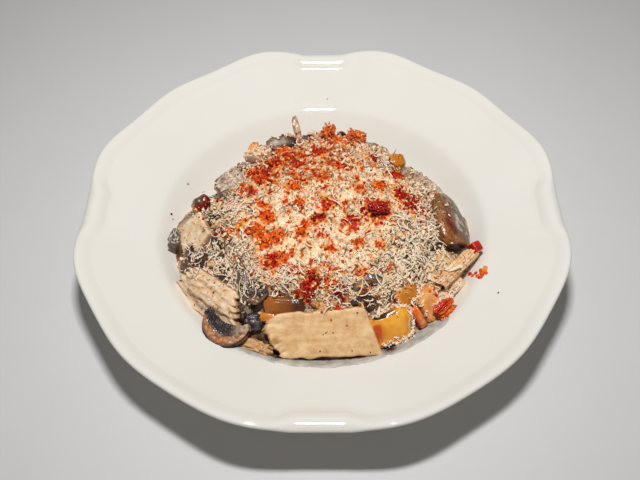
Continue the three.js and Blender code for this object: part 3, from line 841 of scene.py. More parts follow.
def amber_look(unit, seed):
    """Amber, with painted shade dark inside one open end, and red at the other."""
    colour = blend(paint(222, 144, 46), paint(188, 108, 26), 0.4 + 1.2 * ripple(*unit, 0.6))
    colour = blend(colour, paint(64, 38, 24), smooth_step(0.72, 0.86, unit.x))
    return blend(colour, paint(120, 36, 22), smooth_step(-0.72, -0.86, unit.x)), 0


def pale_look(unit, seed):
    """Pale orange, with a red stain at one end."""
    colour = blend(paint(252, 184, 112), paint(236, 156, 84), 0.5 + 1.5 * ripple(*unit, 0.5))
    return blend(colour, paint(200, 82, 36), 1.2 * near_point(unit, 0.7, 0.3, 0.3)), 0


def shaded_look(unit, seed):
    """Brown, darker to the right: painted shade over golden pasta."""
    return blend(paint(172, 100, 38), paint(84, 46, 26), smooth_step(-0.4, 0.5, unit.x)), 0


for node, size, look, squareness, place in (
    ("golden_pasta_front_right", (25, 22, 13), fat_tube_look, 1.7, {"turn": 20, "lean": 50}),
    ("golden_pasta_upper_right", (17, 13, 11), amber_look, 2, {"turn": 38, "lean": 42}),
    ("golden_pasta_side", (20, 14, 8), pale_look, 1.8, {"turn": -48, "roll": 46}),
    ("golden_pasta_behind", (10, 8.5, 8), amber_look, 1.8, {"turn": 10}),
    ("golden_pasta_front", (23, 10, 9), shaded_look, 1.8, {"turn": -6, "lean": 40}),
    ("golden_pasta_front_left", (10, 6, 6), amber_look, 1.8, {"turn": -12, "lean": 40}),
    ("golden_pasta_back_left", (7.5, 5.5, 5), pale_look, 1.8, {"turn": 50, "roll": -20}),
):
    shape = lump_shape(size, look, squareness, seed=size[0], relief=0.2, grain=5)
    serve(node, knead(block(size, 0.5), shape), golden, "golden_pasta", **place)

# ---- the peppers ----
# Pieces of red and orange pepper and clots of chopped chilli, glossy with oil. The clots are
# craggy lumps, the cut pieces are smooth.
pepper = tinted_material("red pepper", 1.4, paint(205, 150, 130), (0.14, 0.3), 0.3,
                         Coat_Weight=0.5, Coat_Roughness=0.08)


def red_look(unit, seed):
    """Red flesh that turns orange towards the inside."""
    colour = blend(paint(226, 36, 12), paint(164, 12, 6), 0.4 + 1.5 * ripple(*unit, 0.5))
    return blend(colour, paint(244, 120, 44), smooth_step(0, -0.6, unit.y + unit.z)), 0


def clot_look(unit, seed):
    """Chopped chilli stuck together, with painted shade, dark, between the crags."""
    crag = noise.turbulence(unit * 1.7 + Vector((seed, 0, 0)), 3, True)
    return blend(paint(206, 36, 20), paint(112, 8, 8), 1.3 * crag), 0.8 * crag


def orange_look(unit, seed):
    """Strands that fan out from one side, red above and orange below, with painted shade in the
    gaps between them.
    """
    strand = math.sin(26 * math.atan2(unit.y, unit.x + 1.6) + 3 * ripple(*unit, 0.8))
    colour = blend(paint(252, 132, 30), paint(232, 56, 14), 0.2 + 0.9 * unit.y + ripple(*unit, 0.4))
    return blend(colour, paint(124, 22, 10), 0.8 * smooth_step(0.1, -0.9, strand)), 0.6 - 0.7 * strand


def tuft_look(unit, seed):
    """Strands of chilli that stand up round the middle, with painted shade in the gaps between them."""
    strand = math.sin(8 * math.atan2(unit.y, unit.x) + 4 * ripple(*unit, 0.7))
    colour = blend(paint(250, 144, 50), paint(224, 62, 14), 0.5 - 0.6 * unit.z + 1.4 * ripple(*unit, 0.4))
    return blend(colour, paint(140, 30, 10), 0.5 * smooth_step(0, -0.8, strand)), 0.8 - 1.0 * strand


def strip_look(unit, seed):
    """A strip cut through: orange inside, dark red skin along both edges, a pale spot of painted
    highlight, and painted shade underneath.
    """
    colour = blend(paint(250, 140, 50), paint(232, 92, 26), 0.5 + 1.5 * ripple(*unit, 0.6))
    colour = blend(colour, paint(172, 34, 12), smooth_step(0.35, 0.75, abs(unit.y)))
    # A pale spot of painted highlight.
    colour = blend(colour, paint(252, 182, 96), near_point(unit, 0.35, 0, 0.3))
    # Painted shade, dark red, underneath.
    return blend(colour, paint(92, 22, 14), smooth_step(-0.3, -0.7, unit.z)), 0


for node, size, look, options, place in (
    ("red_pepper_cube", (6.4, 6.6, 7), red_look, {"squareness": 3, "relief": 0.1},
     {"turn": 30, "lean": 20, "roll": 15}),
    ("red_pepper_on_top", (13, 9, 3.4), clot_look, {"relief": 0.4, "grain": 2}, {"turn": 15, "roll": 16}),
    ("red_pepper_at_front", (9, 6.5, 5), clot_look, {"relief": 0.7, "grain": 2}, {"turn": -20, "lean": 40}),
    ("orange_pepper_strip", (15, 6, 4.5), strip_look, {"bend": 50, "relief": 0.2},
     {"turn": -55, "lean": 10, "roll": 40}),
    ("red_pepper_at_back", (10, 7.5, 8), tuft_look, {"relief": 0.3, "grain": 2}, {"turn": 60, "lean": -12}),
    ("red_pepper_behind", (12, 7, 5.5), tuft_look, {"relief": 0.4, "grain": 2}, {"turn": -12, "roll": 12}),
    ("red_pepper_at_side", (14, 9, 6), orange_look, {"relief": 0.3, "grain": 2.5},
     {"turn": 42, "lean": 45}),
):
    shape = lump_shape(size, look, seed=size[0], **options)
    serve(node, knead(block(size, 0.32), shape), pepper, "pepper", **place)

chopped = tinted_material("chopped chilli", 1.4, paint(222, 176, 150), (0.4, 0.65), 0.2,
                          Specular_IOR_Level=0.2)

# ---- the loose pieces on the flanks ----
# The heap's own pieces: bits of mushroom, torn chicken and ridged tubes, half sunk in the sauce
# all round its flanks. Each kind is one mesh, joined from turned copies of a few shapes.
FLANK = (62, 92)
SIDE_REACH = 82
BACK_FLANK = (64, 80)
BACK_SIDES = (58, 72)
DEEPEST = 2.5
BESIDE_TUBE = (73.5, -48.5, 21.5)
DROP_HEIGHT = 90


def core_normal(x, y):
    """Which way the heap's flank faces at a plan position."""
    step = 2.0
    across = mound_height(x + step, y) - mound_height(x - step, y)
    along = mound_height(x, y + step) - mound_height(x, y - step)
    return Vector((-across, -along, 2 * step)).normalized()


def bed_in(kind, x, y, sink, turn, tip):
    """A copy of a shape laid on the flank: turned, tipped and sunk a little. It is lifted clear of
    the porcelain, and there is none where that would stand it on its end."""
    up = (core_normal(x, y) + Vector(tip)).normalized()
    spun = Matrix.Rotation(turn, 3, "Z")
    stood = up.to_track_quat("Z", "Y").to_matrix()
    copy = kind.copy()
    place = Vector((x, y, mound_height(x, y) - hollow(x, y) - CHEESE_THICK - sink))
    place.z = max(place.z, well_height(math.hypot(x, y)) + 2)
    bmesh.ops.transform(copy, verts=copy.verts, matrix=(stood @ spun).to_4x4())
    bmesh.ops.translate(copy, verts=copy.verts, vec=place)
    sunk = max(well_height(corner.co.xy.length) - corner.co.z for corner in copy.verts)
    if sunk > DEEPEST:
        copy.free()
        return None
    bmesh.ops.translate(copy, verts=copy.verts, vec=(0, 0, max(sunk + 0.1, 0)))
    return copy


def joined(copies):
    """One shape of many, which are freed."""
    whole = bmesh.new()
    for copy in copies:
        mesh = bpy.data.meshes.new("copy")
        copy.to_mesh(mesh)
        copy.free()
        whole.from_mesh(mesh)
        bpy.data.meshes.remove(mesh)
    bmesh.ops.recalc_face_normals(whole, faces=whole.faces)
    return whole


def search_tree(pieces):
    """A search tree over the pieces, and for each of its faces the name of the piece it is of."""
    corners, faces, owners = [], [], []
    for piece in pieces:
        first = len(corners)
        corners += [corner.co for corner in piece.data.vertices]
        faces += [[first + index for index in face.vertices] for face in piece.data.polygons]
        owners += [piece.name.removesuffix("_cooked")] * len(piece.data.polygons)
    return BVHTree.FromPolygons(corners, faces), owners


def fall(x, y):
    """Where a thing falls at a plan position, the normal there, and the name of what it falls on."""
    place, normal, face, _ = tree.ray_cast(Vector((x, y, DROP_HEIGHT)) * MM, Vector((0, 0, -1)))
    return (place, normal, owners[face]) if place else (None, None, None)


tree, owners = search_tree(food)
small_slices = [
    knead(block((18, 12, 4), 1.1), mushroom_shape(15, 8, 4, seed, flesh=flesh, gill_part=0.35))
    for seed, flesh in ((61, GREY_FLESH), (62, FLESH), (63, DARK_FLESH))
]
small_slices += [knead(block((9, 6, 4), 0.9), lump_shape((9, 6, 4), look, seed=5))
                 for look in (dark_look, brown_look)]
small_meat = [knead(block(size, 0.9), chicken_shape(size, 2, seed, 0.3))
              for seed, size in ((71, (16, 8, 4.5)), (72, (11, 6, 4)))]
small_tubes = [tube(24, 8, 1.2, 4, 16, cell=2.2)]
UNDERNEATH = ((0, 0), (5, 0), (-5, 0), (0, 5), (0, -5))
rng = random.Random(5)
for name, kinds, material, slot, count in (
    ("loose_mushrooms", small_slices, mushroom, "mushroom", 48),
    ("loose_chicken", small_meat, meat, "chicken", 44),
    ("loose_pasta", small_tubes, pasta, "pasta", 18),
):
    copies = []
    while len(copies) < count:
        # The flank is narrower at the sides and behind, and the tubes lie only at the back.
        angle = rng.uniform(-math.pi, math.pi)
        radius = rng.uniform(*FLANK)
        behind = math.sin(angle) > 0.35
        if not behind and abs(math.cos(angle)) > 0.8:
            radius = min(radius, SIDE_REACH)
        if slot == "pasta" and math.sin(angle) < 0.8:
            continue
        if behind:
            radius = rng.uniform(*BACK_FLANK)
        if math.sin(angle) > 0 and abs(math.cos(angle)) > 0.3:
            radius = rng.uniform(*BACK_SIDES)
        sink = rng.uniform(0.5, 2.5) if behind else rng.uniform(1.5, 3.5)
        tip = [rng.uniform(-0.35, 0.35) for _ in range(3)]
        turn = rng.uniform(0, 2 * math.pi)
        x, y = radius * math.cos(angle), radius * math.sin(angle)
        if any(fall(x + dx, y + dy)[2] not in (None, "heap_core") for dx, dy in UNDERNEATH):
            continue
        copy = bed_in(rng.choice(kinds), x, y, sink, turn, tip)
        if copy:
            copies.append(copy)
    if slot == "chicken":
        # One strip is laid at a given place, to bear the ridged tube's lower end.
        size = (22, 9, 4.5)
        beside = turned(knead(block(size, 0.9), chicken_shape(size, 2, 73, 0.3, creamy=0.7)), 46, 36, 0)
        bmesh.ops.translate(beside, verts=beside.verts, vec=BESIDE_TUBE)
        copies.append(beside)
    food.append(put_down(name, joined(copies), material))
for kind in small_slices + small_meat + small_tubes:
    kind.free()

# ---- the bed of grated cheese ----
# Hard cheese grated finely over the heap and matted together by the steam, with clots of chopped
# chilli in it that stain it. A grid is drawn out to a round blanket with a crumbly relief, with
# painted shade in its cracks, its pits, at the borders of its grains and between the chilli crumbs.
CHEESE_REACH = 68
BED_DEPTH = 1.3
BED_STEPS = 290
CREAM = paint(255, 238, 208)
IVORY = paint(255, 222, 176)
RUST = paint(236, 146, 72)
# Painted shade in the cheese's cracks and pits, and the colour of small dark stray bits.
PIT_SHADE_AND_BITS = paint(100, 50, 20)
DEEP = paint(166, 16, 8)
RED = paint(204, 40, 10)
ORANGE = paint(238, 104, 20)
AMBER = paint(250, 168, 66)

# Where dark mushroom shows through the cheese, and where the chilli lies thickest: plan position,
# spread and, for the chilli, colour.
DARK_SPOTS = ((54, -34, 15), (-58, -34, 14), (46, 30, 10), (-50, 2, 9), (-2, -62, 7), (60, -8, 8))
CLOTS = (
    (5, 66, 6, RED), (12, 58, 5, ORANGE), (18, 60, 6, ORANGE), (26, 60, 6, RED), (33, 35, 4, DEEP),
    (47, 21, 5, RED), (35, 6, 4, ORANGE), (48, 2, 5, DEEP), (54, -3, 6, DEEP), (59, -8, 5, RED),
    (32, -13, 8, DEEP), (4, -9, 5, RED), (17, -22, 5, RED), (-2, -20, 4, DEEP), (13, 22, 4, RED),
    (-1, 36, 4, RED), (1, 11, 4, ORANGE), (23, 3, 3, ORANGE), (-42, 23, 4, RED), (-36, 18, 4, RED),
    (-30, 29, 5, DEEP), (-18, 35, 5, RED), (-24, 45, 4, ORANGE), (-37, 12, 3, DEEP),
    (-48, 9, 4, ORANGE), (-41, 5, 3, RED), (-61, 8, 3, DEEP), (-54, -3, 4, ORANGE),
    (-32, -16, 5, ORANGE), (-46, -21, 4, AMBER), (-38, -25, 4, ORANGE), (-32, -32, 5, ORANGE),
    (-26, -30, 4, ORANGE), (-61, -17, 3, DEEP), (-54, -23, 3, ORANGE), (-12, -28, 4, ORANGE),
    (-17, 5, 4, ORANGE), (-13, -6, 3, ORANGE), (-35, -6, 3, ORANGE), (-28, -45, 5, RED),
    (-23, -44, 4, ORANGE), (-16, -51, 4, ORANGE), (-6, -57, 5, DEEP), (-11, -62, 5, RED),
    (4, -60, 4, ORANGE), (8, -65, 4, DEEP), (24, -61, 4, DEEP), (22, -54, 4, ORANGE),
    (22, -56, 2, AMBER), (20, -35, 3, ORANGE), (31, -35, 2, ORANGE), (5, -40, 3, ORANGE),
    (-1, -31, 2, RED), (38, -50, 2, ORANGE), (-17, -41, 2, ORANGE), (6, -70, 4, RED),
    (-39, -50, 2, ORANGE), (-10, -23, 2, ORANGE),
)


def cheese_reach(angle):
    """How far out the cheese lies at an angle, or at an array of them: furthest at front right."""
    return CHEESE_REACH + 9 * np.cos(angle + math.radians(35)) ** 3 + 2.5 * np.sin(5 * angle + 0.6)


def chilli(x, y):
    """How thickly chilli lies at a plan position, from 0 to 1, and its colour."""
    most, hue = 0, ORANGE
    x, y = x + 2.4 * ripple(x, y, 31, 3.2), y + 2.4 * ripple(x, y, 47, 3.2)
    for at_x, at_y, size, colour in CLOTS:
        if abs(x - at_x) < 2 * size and abs(y - at_y) < 2 * size:
            here = near_point((x, y), at_x, at_y, size)
            if here > most:
                most, hue = here, colour
    return most, hue


def bed(x, y, part):
    """The height and colour of the matted cheese at a plan position, with painted shade in its
    cracks and pits, at its grains' borders and between the chilli crumbs.
    """
    coarse = noise.voronoi(Vector((x, y, 0)) / 3.6)[0]
    fine = noise.voronoi(Vector((x, y, 5)) / 1.9)[0]
    crack = smooth_step(0.16, 0.02, coarse[1] - coarse[0])
    pit = smooth_step(0.2, 0.04, fine[1] - fine[0])
    most, hue = chilli(x, y)
    grain = 0.9 * (0.45 - coarse[0]) + 0.2 * (0.45 - fine[0])
    clump = 1.5 * ripple(x, y, 4, 7)
    crag = most * (0.6 + 1.2 * ripple(x, y, 15, 1.4))
    heap = mound_height(x, y) - hollow(x, y)
    top = heap - BED_DEPTH + clump + grain + crag - 0.5 * crack
    floor = heap - CHEESE_THICK - CORE_DEPTH
    dusty = near_point((x, y), -12, 32, 39)
    edge = smooth_step(46, 64, math.hypot(x, y))
    colour = blend(CREAM, IVORY, 0.3 + 1.2 * ripple(x, y, 7, 5))
    colour = blend(colour, RUST, dusty * (0.15 + 1.4 * ripple(x, y, 11, 4)))
    dark = max(near_point((x, y), *spot) for spot in DARK_SPOTS)
    # How strongly painted shade darkens the cracks and pits; over the dark spots it is near black.
    rough = 0.3 + 0.5 * dusty + 0.7 * edge + 1.4 * ripple(x, y, 12, 7) + dark
    colour = blend(colour, blend(PIT_SHADE_AND_BITS, paint(44, 36, 28), dark), max(crack * rough, 0.4 * pit * rough))
    colour = blend(colour, paint(246, 228, 198), 0.6 * dark)
    colour = blend(colour, paint(50, 28, 12), 6 * dark * (ripple(x, y, 16, 2.6) - 0.02))
    colour = blend(colour, paint(120, 44, 14), dusty * 5 * (ripple(x, y, 17, 1.4) - 0.24))
    share = most + 0.45 * ripple(x, y, 14, 1.7)
    sown = ripple(x, y, 13, 3.8) + 0.6 * ripple(x, y, 23, 1.6) - 0.17 + 0.46 * dusty
    if sown > share:
        share, hue = sown, blend(RED, DEEP, 0.6 + 3 * ripple(x, y, 27, 6))
    colour = blend(colour, AMBER, 0.7 * smooth_step(0.14, 0.3, share))
    colour = blend(colour, ORANGE, smooth_step(0.3, 0.42, share))
    colour = blend(colour, hue, smooth_step(0.45, 0.6, share))
    colour = blend(colour, AMBER, smooth_step(0.3, 0.4, share) * 2.2 * (ripple(x, y, 19, 2.2) - 0.12))
    # Painted shade, dark red, between the crumbs of the chilli.
    clot_shade = smooth_step(0.3, 0.4, share) * 3 * (ripple(x, y, 37, 1.7) - 0.18)
    colour = blend(colour, paint(96, 14, 4), clot_shade)
    # Painted shade at the borders of the fine grains.
    colour = tuple(value * (0.92 + 0.3 * (fine[1] - fine[0])) for value in colour)
    return floor + (top - floor) * smooth_step(1, 0.93, part), colour


cheese = tinted_material("grated cheese", 1.0, paint(252, 244, 234), (0.5, 0.75), 0.2, 0.6)
matted = tinted_material("matted cheese", 1.5, paint(250, 236, 214), (0.45, 0.7), 0.22, 0.8,
                         specks=(0.8, 0.6, paint(84, 42, 20)), Specular_IOR_Level=0.3)
bm = bmesh.new()
bmesh.ops.create_grid(bm, x_segments=BED_STEPS, y_segments=BED_STEPS, size=1)
tint = bm.verts.layers.float_color.new("tint")
for corner in bm.verts:
    s, t = corner.co.xy
    flat = Vector((s * math.sqrt(1 - t * t / 2), t * math.sqrt(1 - s * s / 2)))
    angle = math.atan2(flat.y, flat.x)
    ragged = 5 * ripple(9 * math.cos(angle), 9 * math.sin(angle), 0, 1.2)
    x, y = flat * float(cheese_reach(angle) - 1.5 + ragged)
    height, colour = bed(x, y, flat.length)
    corner.co = (x, y, height)
    corner[tint] = (*colour, 1)
rim = [edge for edge in bm.edges if edge.is_boundary]
skirt = bmesh.ops.extrude_edge_only(bm, edges=rim)["geom"]
for corner in skirt:
    if isinstance(corner, bmesh.types.BMVert):
        corner.co.z -= 1
bmesh.ops.holes_fill(bm, edges=[edge for edge in bm.edges if edge.is_boundary])
bmesh.ops.recalc_face_normals(bm, faces=bm.faces)
food.append(put_down("cheese_bed", bm, matted, ["grated_cheese"]))

# ---- the sauce at the foot of the heap ----
# A film of thin cream that has run out over the porcelain in front, grey with painted shade at
# the heap's foot, and with painted shadow, dark brown, under the edge of the large slice and
# under the front right golden piece. A flat block is bent round the well and laid on its wall.
FILM_ANGLES = (-130, -36)
FILM_RADII = (84, 101)
FILM_THICK = 0.35
# Painted shadow on the film under the front right golden piece: plan position and spread.
SHADOW_SPOT = (36, -87.5, 3.4641)
slice_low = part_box("chicken_slice_front")[0] / MM


def film_shape(u, v, w):
    """Round the well from end to end, out up its wall, and up through the film."""
    first, last = FILM_ANGLES
    angle = math.radians((first + last) / 2 + u * (last - first) / 2)
    ragged = 1.2 * ripple(90 * angle, 0, 2, 9)
    wide = (FILM_RADII[1] - FILM_RADII[0] + ragged) * (0.45 + 0.55 * smooth_step(1, 0.75, abs(u)))
    radius = FILM_RADII[0] + wide * (v + 1) / 2
    x, y = radius * math.cos(angle), radius * math.sin(angle)
    height = FILM_THICK * smooth_step(1, 0.85, v) * smooth_step(1, 0.97, abs(u)) + 0.12 if w > 0 else -0.4
    # The grey is partly the thin cream and partly painted shade at the heap's foot.
    colour = blend(paint(208, 208, 202), paint(182, 182, 176), 0.5 + 1.4 * ripple(x, y, 6, 5))
    # Painted shadow, dark brown, under the large slice's lower edge and at the shadow spot.
    under = smooth_step(slice_low.y - 1.2, slice_low.y + 0.2, y + 0.8 * ripple(x, 0, 3, 2.5))
    under *= smooth_step(-slice_low.x - 2, -slice_low.x - 6, abs(x))
    under = max(under, 1.2 * near_point((x, y), *SHADOW_SPOT))
    return (x, y, well_height(radius) + height), blend(colour, paint(84, 50, 32), under)


thin_cream = tinted_material("thin cream", 3, paint(238, 236, 234), (0.12, 0.25), 0.05, 3)
bm = knead(block((160, 16, 1), 0.5), film_shape)
bmesh.ops.recalc_face_normals(bm, faces=bm.faces)
food.append(put_down("cream_film", bm, thin_cream))

# ---- the loose cheese ----
# Crumbs, short shreds and long curls off a fine grater, and flat shavings. They are strewn from
# above: each falls straight down on whatever food is under it, and few stay on the smooth pieces.
CRUMBS = 900
SHREDS = 1500
LONG_SHREDS = 640
SHAVINGS = 120
RIM_SHREDS = {"golden_pasta_front_right": 190, "golden_pasta_side": 50, "golden_pasta_upper_right": 36}
HEAP_TOP = cad_box[1][2] / MM - 0.1
STREW_REACH = 97
THIN_FOOD = 0.7
rng = np.random.default_rng(11)

# Where cheese lies past the edge of the bed, and where its long curls and its shavings are: plan
# position and spread.
CHEESE_PATCHES = (
    (-62, -40, 15), (-72, -32, 12), (-66, 2, 13), (62, -36, 14), (52, -48, 10), (24, -60, 6),
    (48, 26, 12), (0, 54, 18), (-40, 38, 14), (36, -66, 7), (62, 4, 8), (68, -48, 8),
)
CURL_PATCHES = (
    (-62, -40, 14), (-46, -50, 10), (58, -34, 14), (50, -46, 12), (27, -62, 7), (-70, -28, 9),
    (36, -66, 7), (-52, -4, 9), (10, -64, 8), (-22, -56, 7), (66, -10, 8), (40, 34, 9),
)
SHAVING_PATCHES = ((58, -34, 14), (52, -46, 10), (66, -42, 7), (34, -64, 8), (-56, -36, 12))

# How readily loose things stay on a piece, where that isn't 1.
CLING = {
    "chicken_slice_front": 0.04, "chicken_slice_left": 0.4, "chicken_strip_upper": 0.3,
    "chicken_strip_lower": 0.12, "chicken_slice_right": 0.6, "mushroom_cap_right": 0.1,
    "mushroom_cap_back": 0.3, "mushroom_cap_back_left": 0.3, "mushroom_stem_back": 0.05,
    "mushroom_stem_left": 0.35, "mushroom_button_left": 0.25, "mushroom_button_front": 0.1,
    "mushroom_slice_front_left": 0.05, "mushroom_slice_front": 0.35, "mushroom_slice_left": 0.6,
    "mushroom_slice_back_right": 0.35, "mushroom_bit_left": 0.4, "golden_pasta_behind": 0.2,
    "golden_pasta_front_right": 0.06, "golden_pasta_upper_right": 0.08, "golden_pasta_side": 0.15,
    "golden_pasta_front": 0.3, "golden_pasta_back_left": 0.5, "pasta_tube": 0.4,
    "red_pepper_cube": 0, "red_pepper_on_top": 0.1, "red_pepper_at_side": 0.2,
    "red_pepper_at_back": 0.03, "red_pepper_behind": 0.03, "orange_pepper_strip": 0.1,
}

tree, owners = search_tree(food)


def near(plan, x, y, spread):
    """1 at a plan position, falling away over the spread."""
    return np.exp(-((plan[:, 0] - x) ** 2 + (plan[:, 1] - y) ** 2) / spread**2)


def patches(plan, spots):
    """1 in the middle of each spot, falling away round it."""
    return np.max([near(plan, x, y, size) for x, y, size in spots], axis=0)


def strewn(count, density, cling=1.0):
    """Places, in millimetres, and normals where so many things land, more where density is high."""
    places, normals = [], []
    while len(places) < count:
        plan = rng.uniform(-STREW_REACH, STREW_REACH, (count, 2))
        for x, y in plan[rng.random(len(plan)) < density(plan)]:
            place, normal, owner = fall(x, y)
            if not place or place.z / MM < well_height(math.hypot(x, y)) + THIN_FOOD:
                continue
            if rng.random() < CLING.get(owner, 1) ** cling:
                places.append(place / MM)
                normals.append(normal)
    return np.array(places[:count]), np.array(normals[:count])


def as_arrays(bm):
    """The shape's corners and triangles."""
    bmesh.ops.triangulate(bm, faces=bm.faces)
    bmesh.ops.recalc_face_normals(bm, faces=bm.faces)
    corners = np.array([corner.co[:] for corner in bm.verts])
    faces = np.array([[corner.index for corner in face.verts] for face in bm.faces])
    bm.free()
    return corners, faces


def shred_shape(sides, parts):
    """A thin rod along X, one long and wide, thinner at its ends."""
    bm = bmesh.new()
    bmesh.ops.create_cone(bm, cap_ends=True, segments=sides, radius1=0.5, radius2=0.5, depth=1)
    rods = [edge for edge in bm.edges if abs(edge.verts[0].co.z - edge.verts[1].co.z) > 0.5]
    bmesh.ops.subdivide_edges(bm, edges=rods, cuts=parts - 1, use_grid_fill=True)
    bmesh.ops.rotate(bm, verts=bm.verts, cent=(0, 0, 0), matrix=Matrix.Rotation(math.pi / 2, 3, "Y"))
    for corner in bm.verts:
        thin = 1 - 0.6 * abs(2 * corner.co.x) ** 3
        corner.co.y *= thin
        corner.co.z *= thin
    return as_arrays(bm)


def crumb_shape(seed, faces=20):
    """A crooked crumb of twenty faces, or of six."""
    bm = bmesh.new()
    if faces == 20:
        bmesh.ops.create_icosphere(bm, subdivisions=1, radius=0.5)
    else:
        bmesh.ops.create_cone(bm, cap_ends=False, segments=4, radius1=0.5, radius2=0, depth=0.5)
        bmesh.ops.holes_fill(bm, edges=bm.edges, sides=4)
    for corner in bm.verts:
        corner.co *= 1 + 0.9 * noise.noise(corner.co * 3 + Vector((seed, 0, 0)))
    return as_arrays(bm)


def strew(name, shape, places, normals, sizes, tints, material, bends=0.01, loose=0.5, lift=0.3,
          lying=0):
    """Copies of a shape as one mesh: each sized, bent upright or lying, tipped and turned."""
    corners, faces = shape
    count = len(places)
    points = corners[None] * sizes[:, None]
    bends = np.broadcast_to(bends, count)[:, None]
    radius = sizes[:, :1] / bends
    angle = points[..., 0] / radius
    along = (radius - points[..., 2]) * np.sin(angle)
    over = radius - (radius - points[..., 2]) * np.cos(angle)
    ups = normals + loose * rng.normal(size=(count, 3))
    ups /= np.linalg.norm(ups, axis=1, keepdims=True)
    fronts = np.cross(ups, rng.normal(size=(count, 3)))
    fronts /= np.linalg.norm(fronts, axis=1, keepdims=True)
    sides = np.cross(ups, fronts)
    roll = lying * (math.pi / 2 + 0.6 * rng.normal(size=(count, 1)))
    rolled = ups * np.cos(roll) + sides * np.sin(roll)
    sides = sides * np.cos(roll) - ups * np.sin(roll)
    made = (fronts[:, None] * along[..., None] + sides[:, None] * points[..., 1:2]
            + rolled[:, None] * over[..., None])
    made += (places + normals * lift * sizes[:, 2:])[:, None]
    made[..., 2] -= np.maximum(made[..., 2].max(1) - HEAP_TOP, 0)[:, None]
    mesh = bpy.data.meshes.new(name)
    first = (np.arange(count) * len(corners))[:, None, None]
    mesh.from_pydata((made.reshape(-1, 3) * MM).tolist(), [], (faces[None] + first).reshape(-1, 3).tolist())
    colours = np.concatenate([tints, np.ones((count, 1))], 1).astype(np.float32)
    tint = mesh.attributes.new("tint", "FLOAT_COLOR", "POINT")
    tint.data.foreach_set("color", np.repeat(colours, len(corners), 0).ravel())
    add_piece(mesh, material)


def spread(low, high, count, columns=1):
    """Random numbers between low and high, more of them low."""
    return low + (high - low) * rng.random((count, columns)) ** 1.7


def mixed(low, high, parts):
    """Colours between low and high, one for each part from 0 to 1."""
    parts = np.clip(parts, 0, 1)[:, None]
    return np.array(low) * (1 - parts) + np.array(high) * parts


def cheese_cover(plan):
    """How thickly the cheese lies over a plan position."""
    radius, angle = np.hypot(plan[:, 0], plan[:, 1]), np.arctan2(plan[:, 1], plan[:, 0])
    cover = np.clip((cheese_reach(angle) + 3 - radius) / 7, 0, 1)
    return np.maximum(cover, 0.9 * patches(plan, CHEESE_PATCHES))


def clotted(plan):
    """1 in the middle of a clot of chilli, falling away round it."""
    return patches(plan, [clot[:3] for clot in CLOTS])


def wetted(plan):
    """1 over the dark spots, where the mushrooms have wetted the cheese."""
    return patches(plan, [(x, y, 1.2 * size) for x, y, size in DARK_SPOTS])


def crumb_cover(plan):
    """Crumbs and shreds lie loose round the edge of the cheese, and few are whole in the middle."""
    edge = np.clip((np.hypot(plan[:, 0], plan[:, 1]) - 42) / 22, 0.06, 1)
    return cheese_cover(plan) * (1 - 0.9 * clotted(plan)) * edge * (1 - 0.55 * wetted(plan))


def stain(plan):
    """How far the chilli has coloured what lies at a plan position."""
    return np.maximum(0.35 * near(plan, -6, 30, 44), 0.8 * clotted(plan))


def cheese_tints(places):
    """White to ivory, rusty by the chilli and yellower where it is wet."""
    count = len(places)
    colours = mixed(paint(255, 246, 226), IVORY, rng.random(count))
    rusty = stain(places) * rng.random(count) ** 0.8
    colours = colours * (1 - rusty[:, None]) + np.array(RUST) * rusty[:, None]
    wet = wetted(places)[:, None]
    return colours * (1 - wet) + np.array(paint(248, 230, 200)) * wet


places, normals = strewn(CRUMBS, crumb_cover)
places[:, 2] += 1.4 * rng.random(CRUMBS) ** 2
sizes = spread(0.7, 2.2, CRUMBS, 3)
strew("cheese_crumbs", crumb_shape(1), places, normals, sizes, cheese_tints(places), cheese,
      loose=1)
places, normals = strewn(SHREDS, crumb_cover)
places[:, 2] += 1.8 * rng.random(SHREDS) ** 2
sizes = np.hstack([spread(1.4, 4, SHREDS), spread(0.4, 0.8, SHREDS, 2)])
strew("cheese_shreds", shred_shape(3, 4), places, normals, sizes, cheese_tints(places), cheese,
      bends=rng.uniform(0.6, 3.4, SHREDS), loose=0.45, lift=1, lying=1)


def long_cover(plan):
    """The long curls, mostly over the mushrooms at either side and along the front."""
    return np.maximum(0.02 * cheese_cover(plan), patches(plan, CURL_PATCHES))


places, normals = strewn(LONG_SHREDS, long_cover, 1.3)
places[:, 2] += 1.2 * rng.random(LONG_SHREDS)
sizes = np.hstack([spread(4, 13, LONG_SHREDS), spread(0.5, 0.95, LONG_SHREDS, 2)])
tints = mixed(paint(255, 246, 228), paint(244, 226, 198), rng.random(LONG_SHREDS))
strew("cheese_curls", shred_shape(4, 9), places, normals, sizes, tints, cheese,
      bends=rng.uniform(0.8, 4.8, LONG_SHREDS), loose=0.3, lift=1.4, lying=1)


# Clumps of cheese that have caught round the rims of the golden pieces.
rims = []
for node, count in RIM_SHREDS.items():
    low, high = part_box(node)
    middle = (low + high) / 2 / MM
    while count:
        x, y = rng.uniform(low.x, high.x) / MM, rng.uniform(low.y, high.y) / MM
        away = Vector((x - middle.x, y - middle.y)).normalized() * 1.8
        place, normal, owner = fall(x, y)
        if owner == node and fall(x + away.x, y + away.y)[2] not in (node, "chicken_slice_front"):
            rims.append((*(place / MM), *normal))
            count -= 1
rims = np.array(rims)
count = len(rims)
sizes = np.hstack([spread(1.4, 4, count), spread(0.7, 1.6, count, 2)])
tints = mixed(paint(255, 246, 232), IVORY, rng.random(count))
strew("rim_shreds", shred_shape(3, 4), rims[:, :3], rims[:, 3:], sizes, tints, cheese,
      bends=rng.uniform(0.6, 3, count), loose=0.5, lift=0.6, lying=1)


def shaving_cover(plan):
    """Flat shavings, over the mushrooms at either side."""
    return np.maximum(0.001 * cheese_cover(plan), patches(plan, SHAVING_PATCHES))


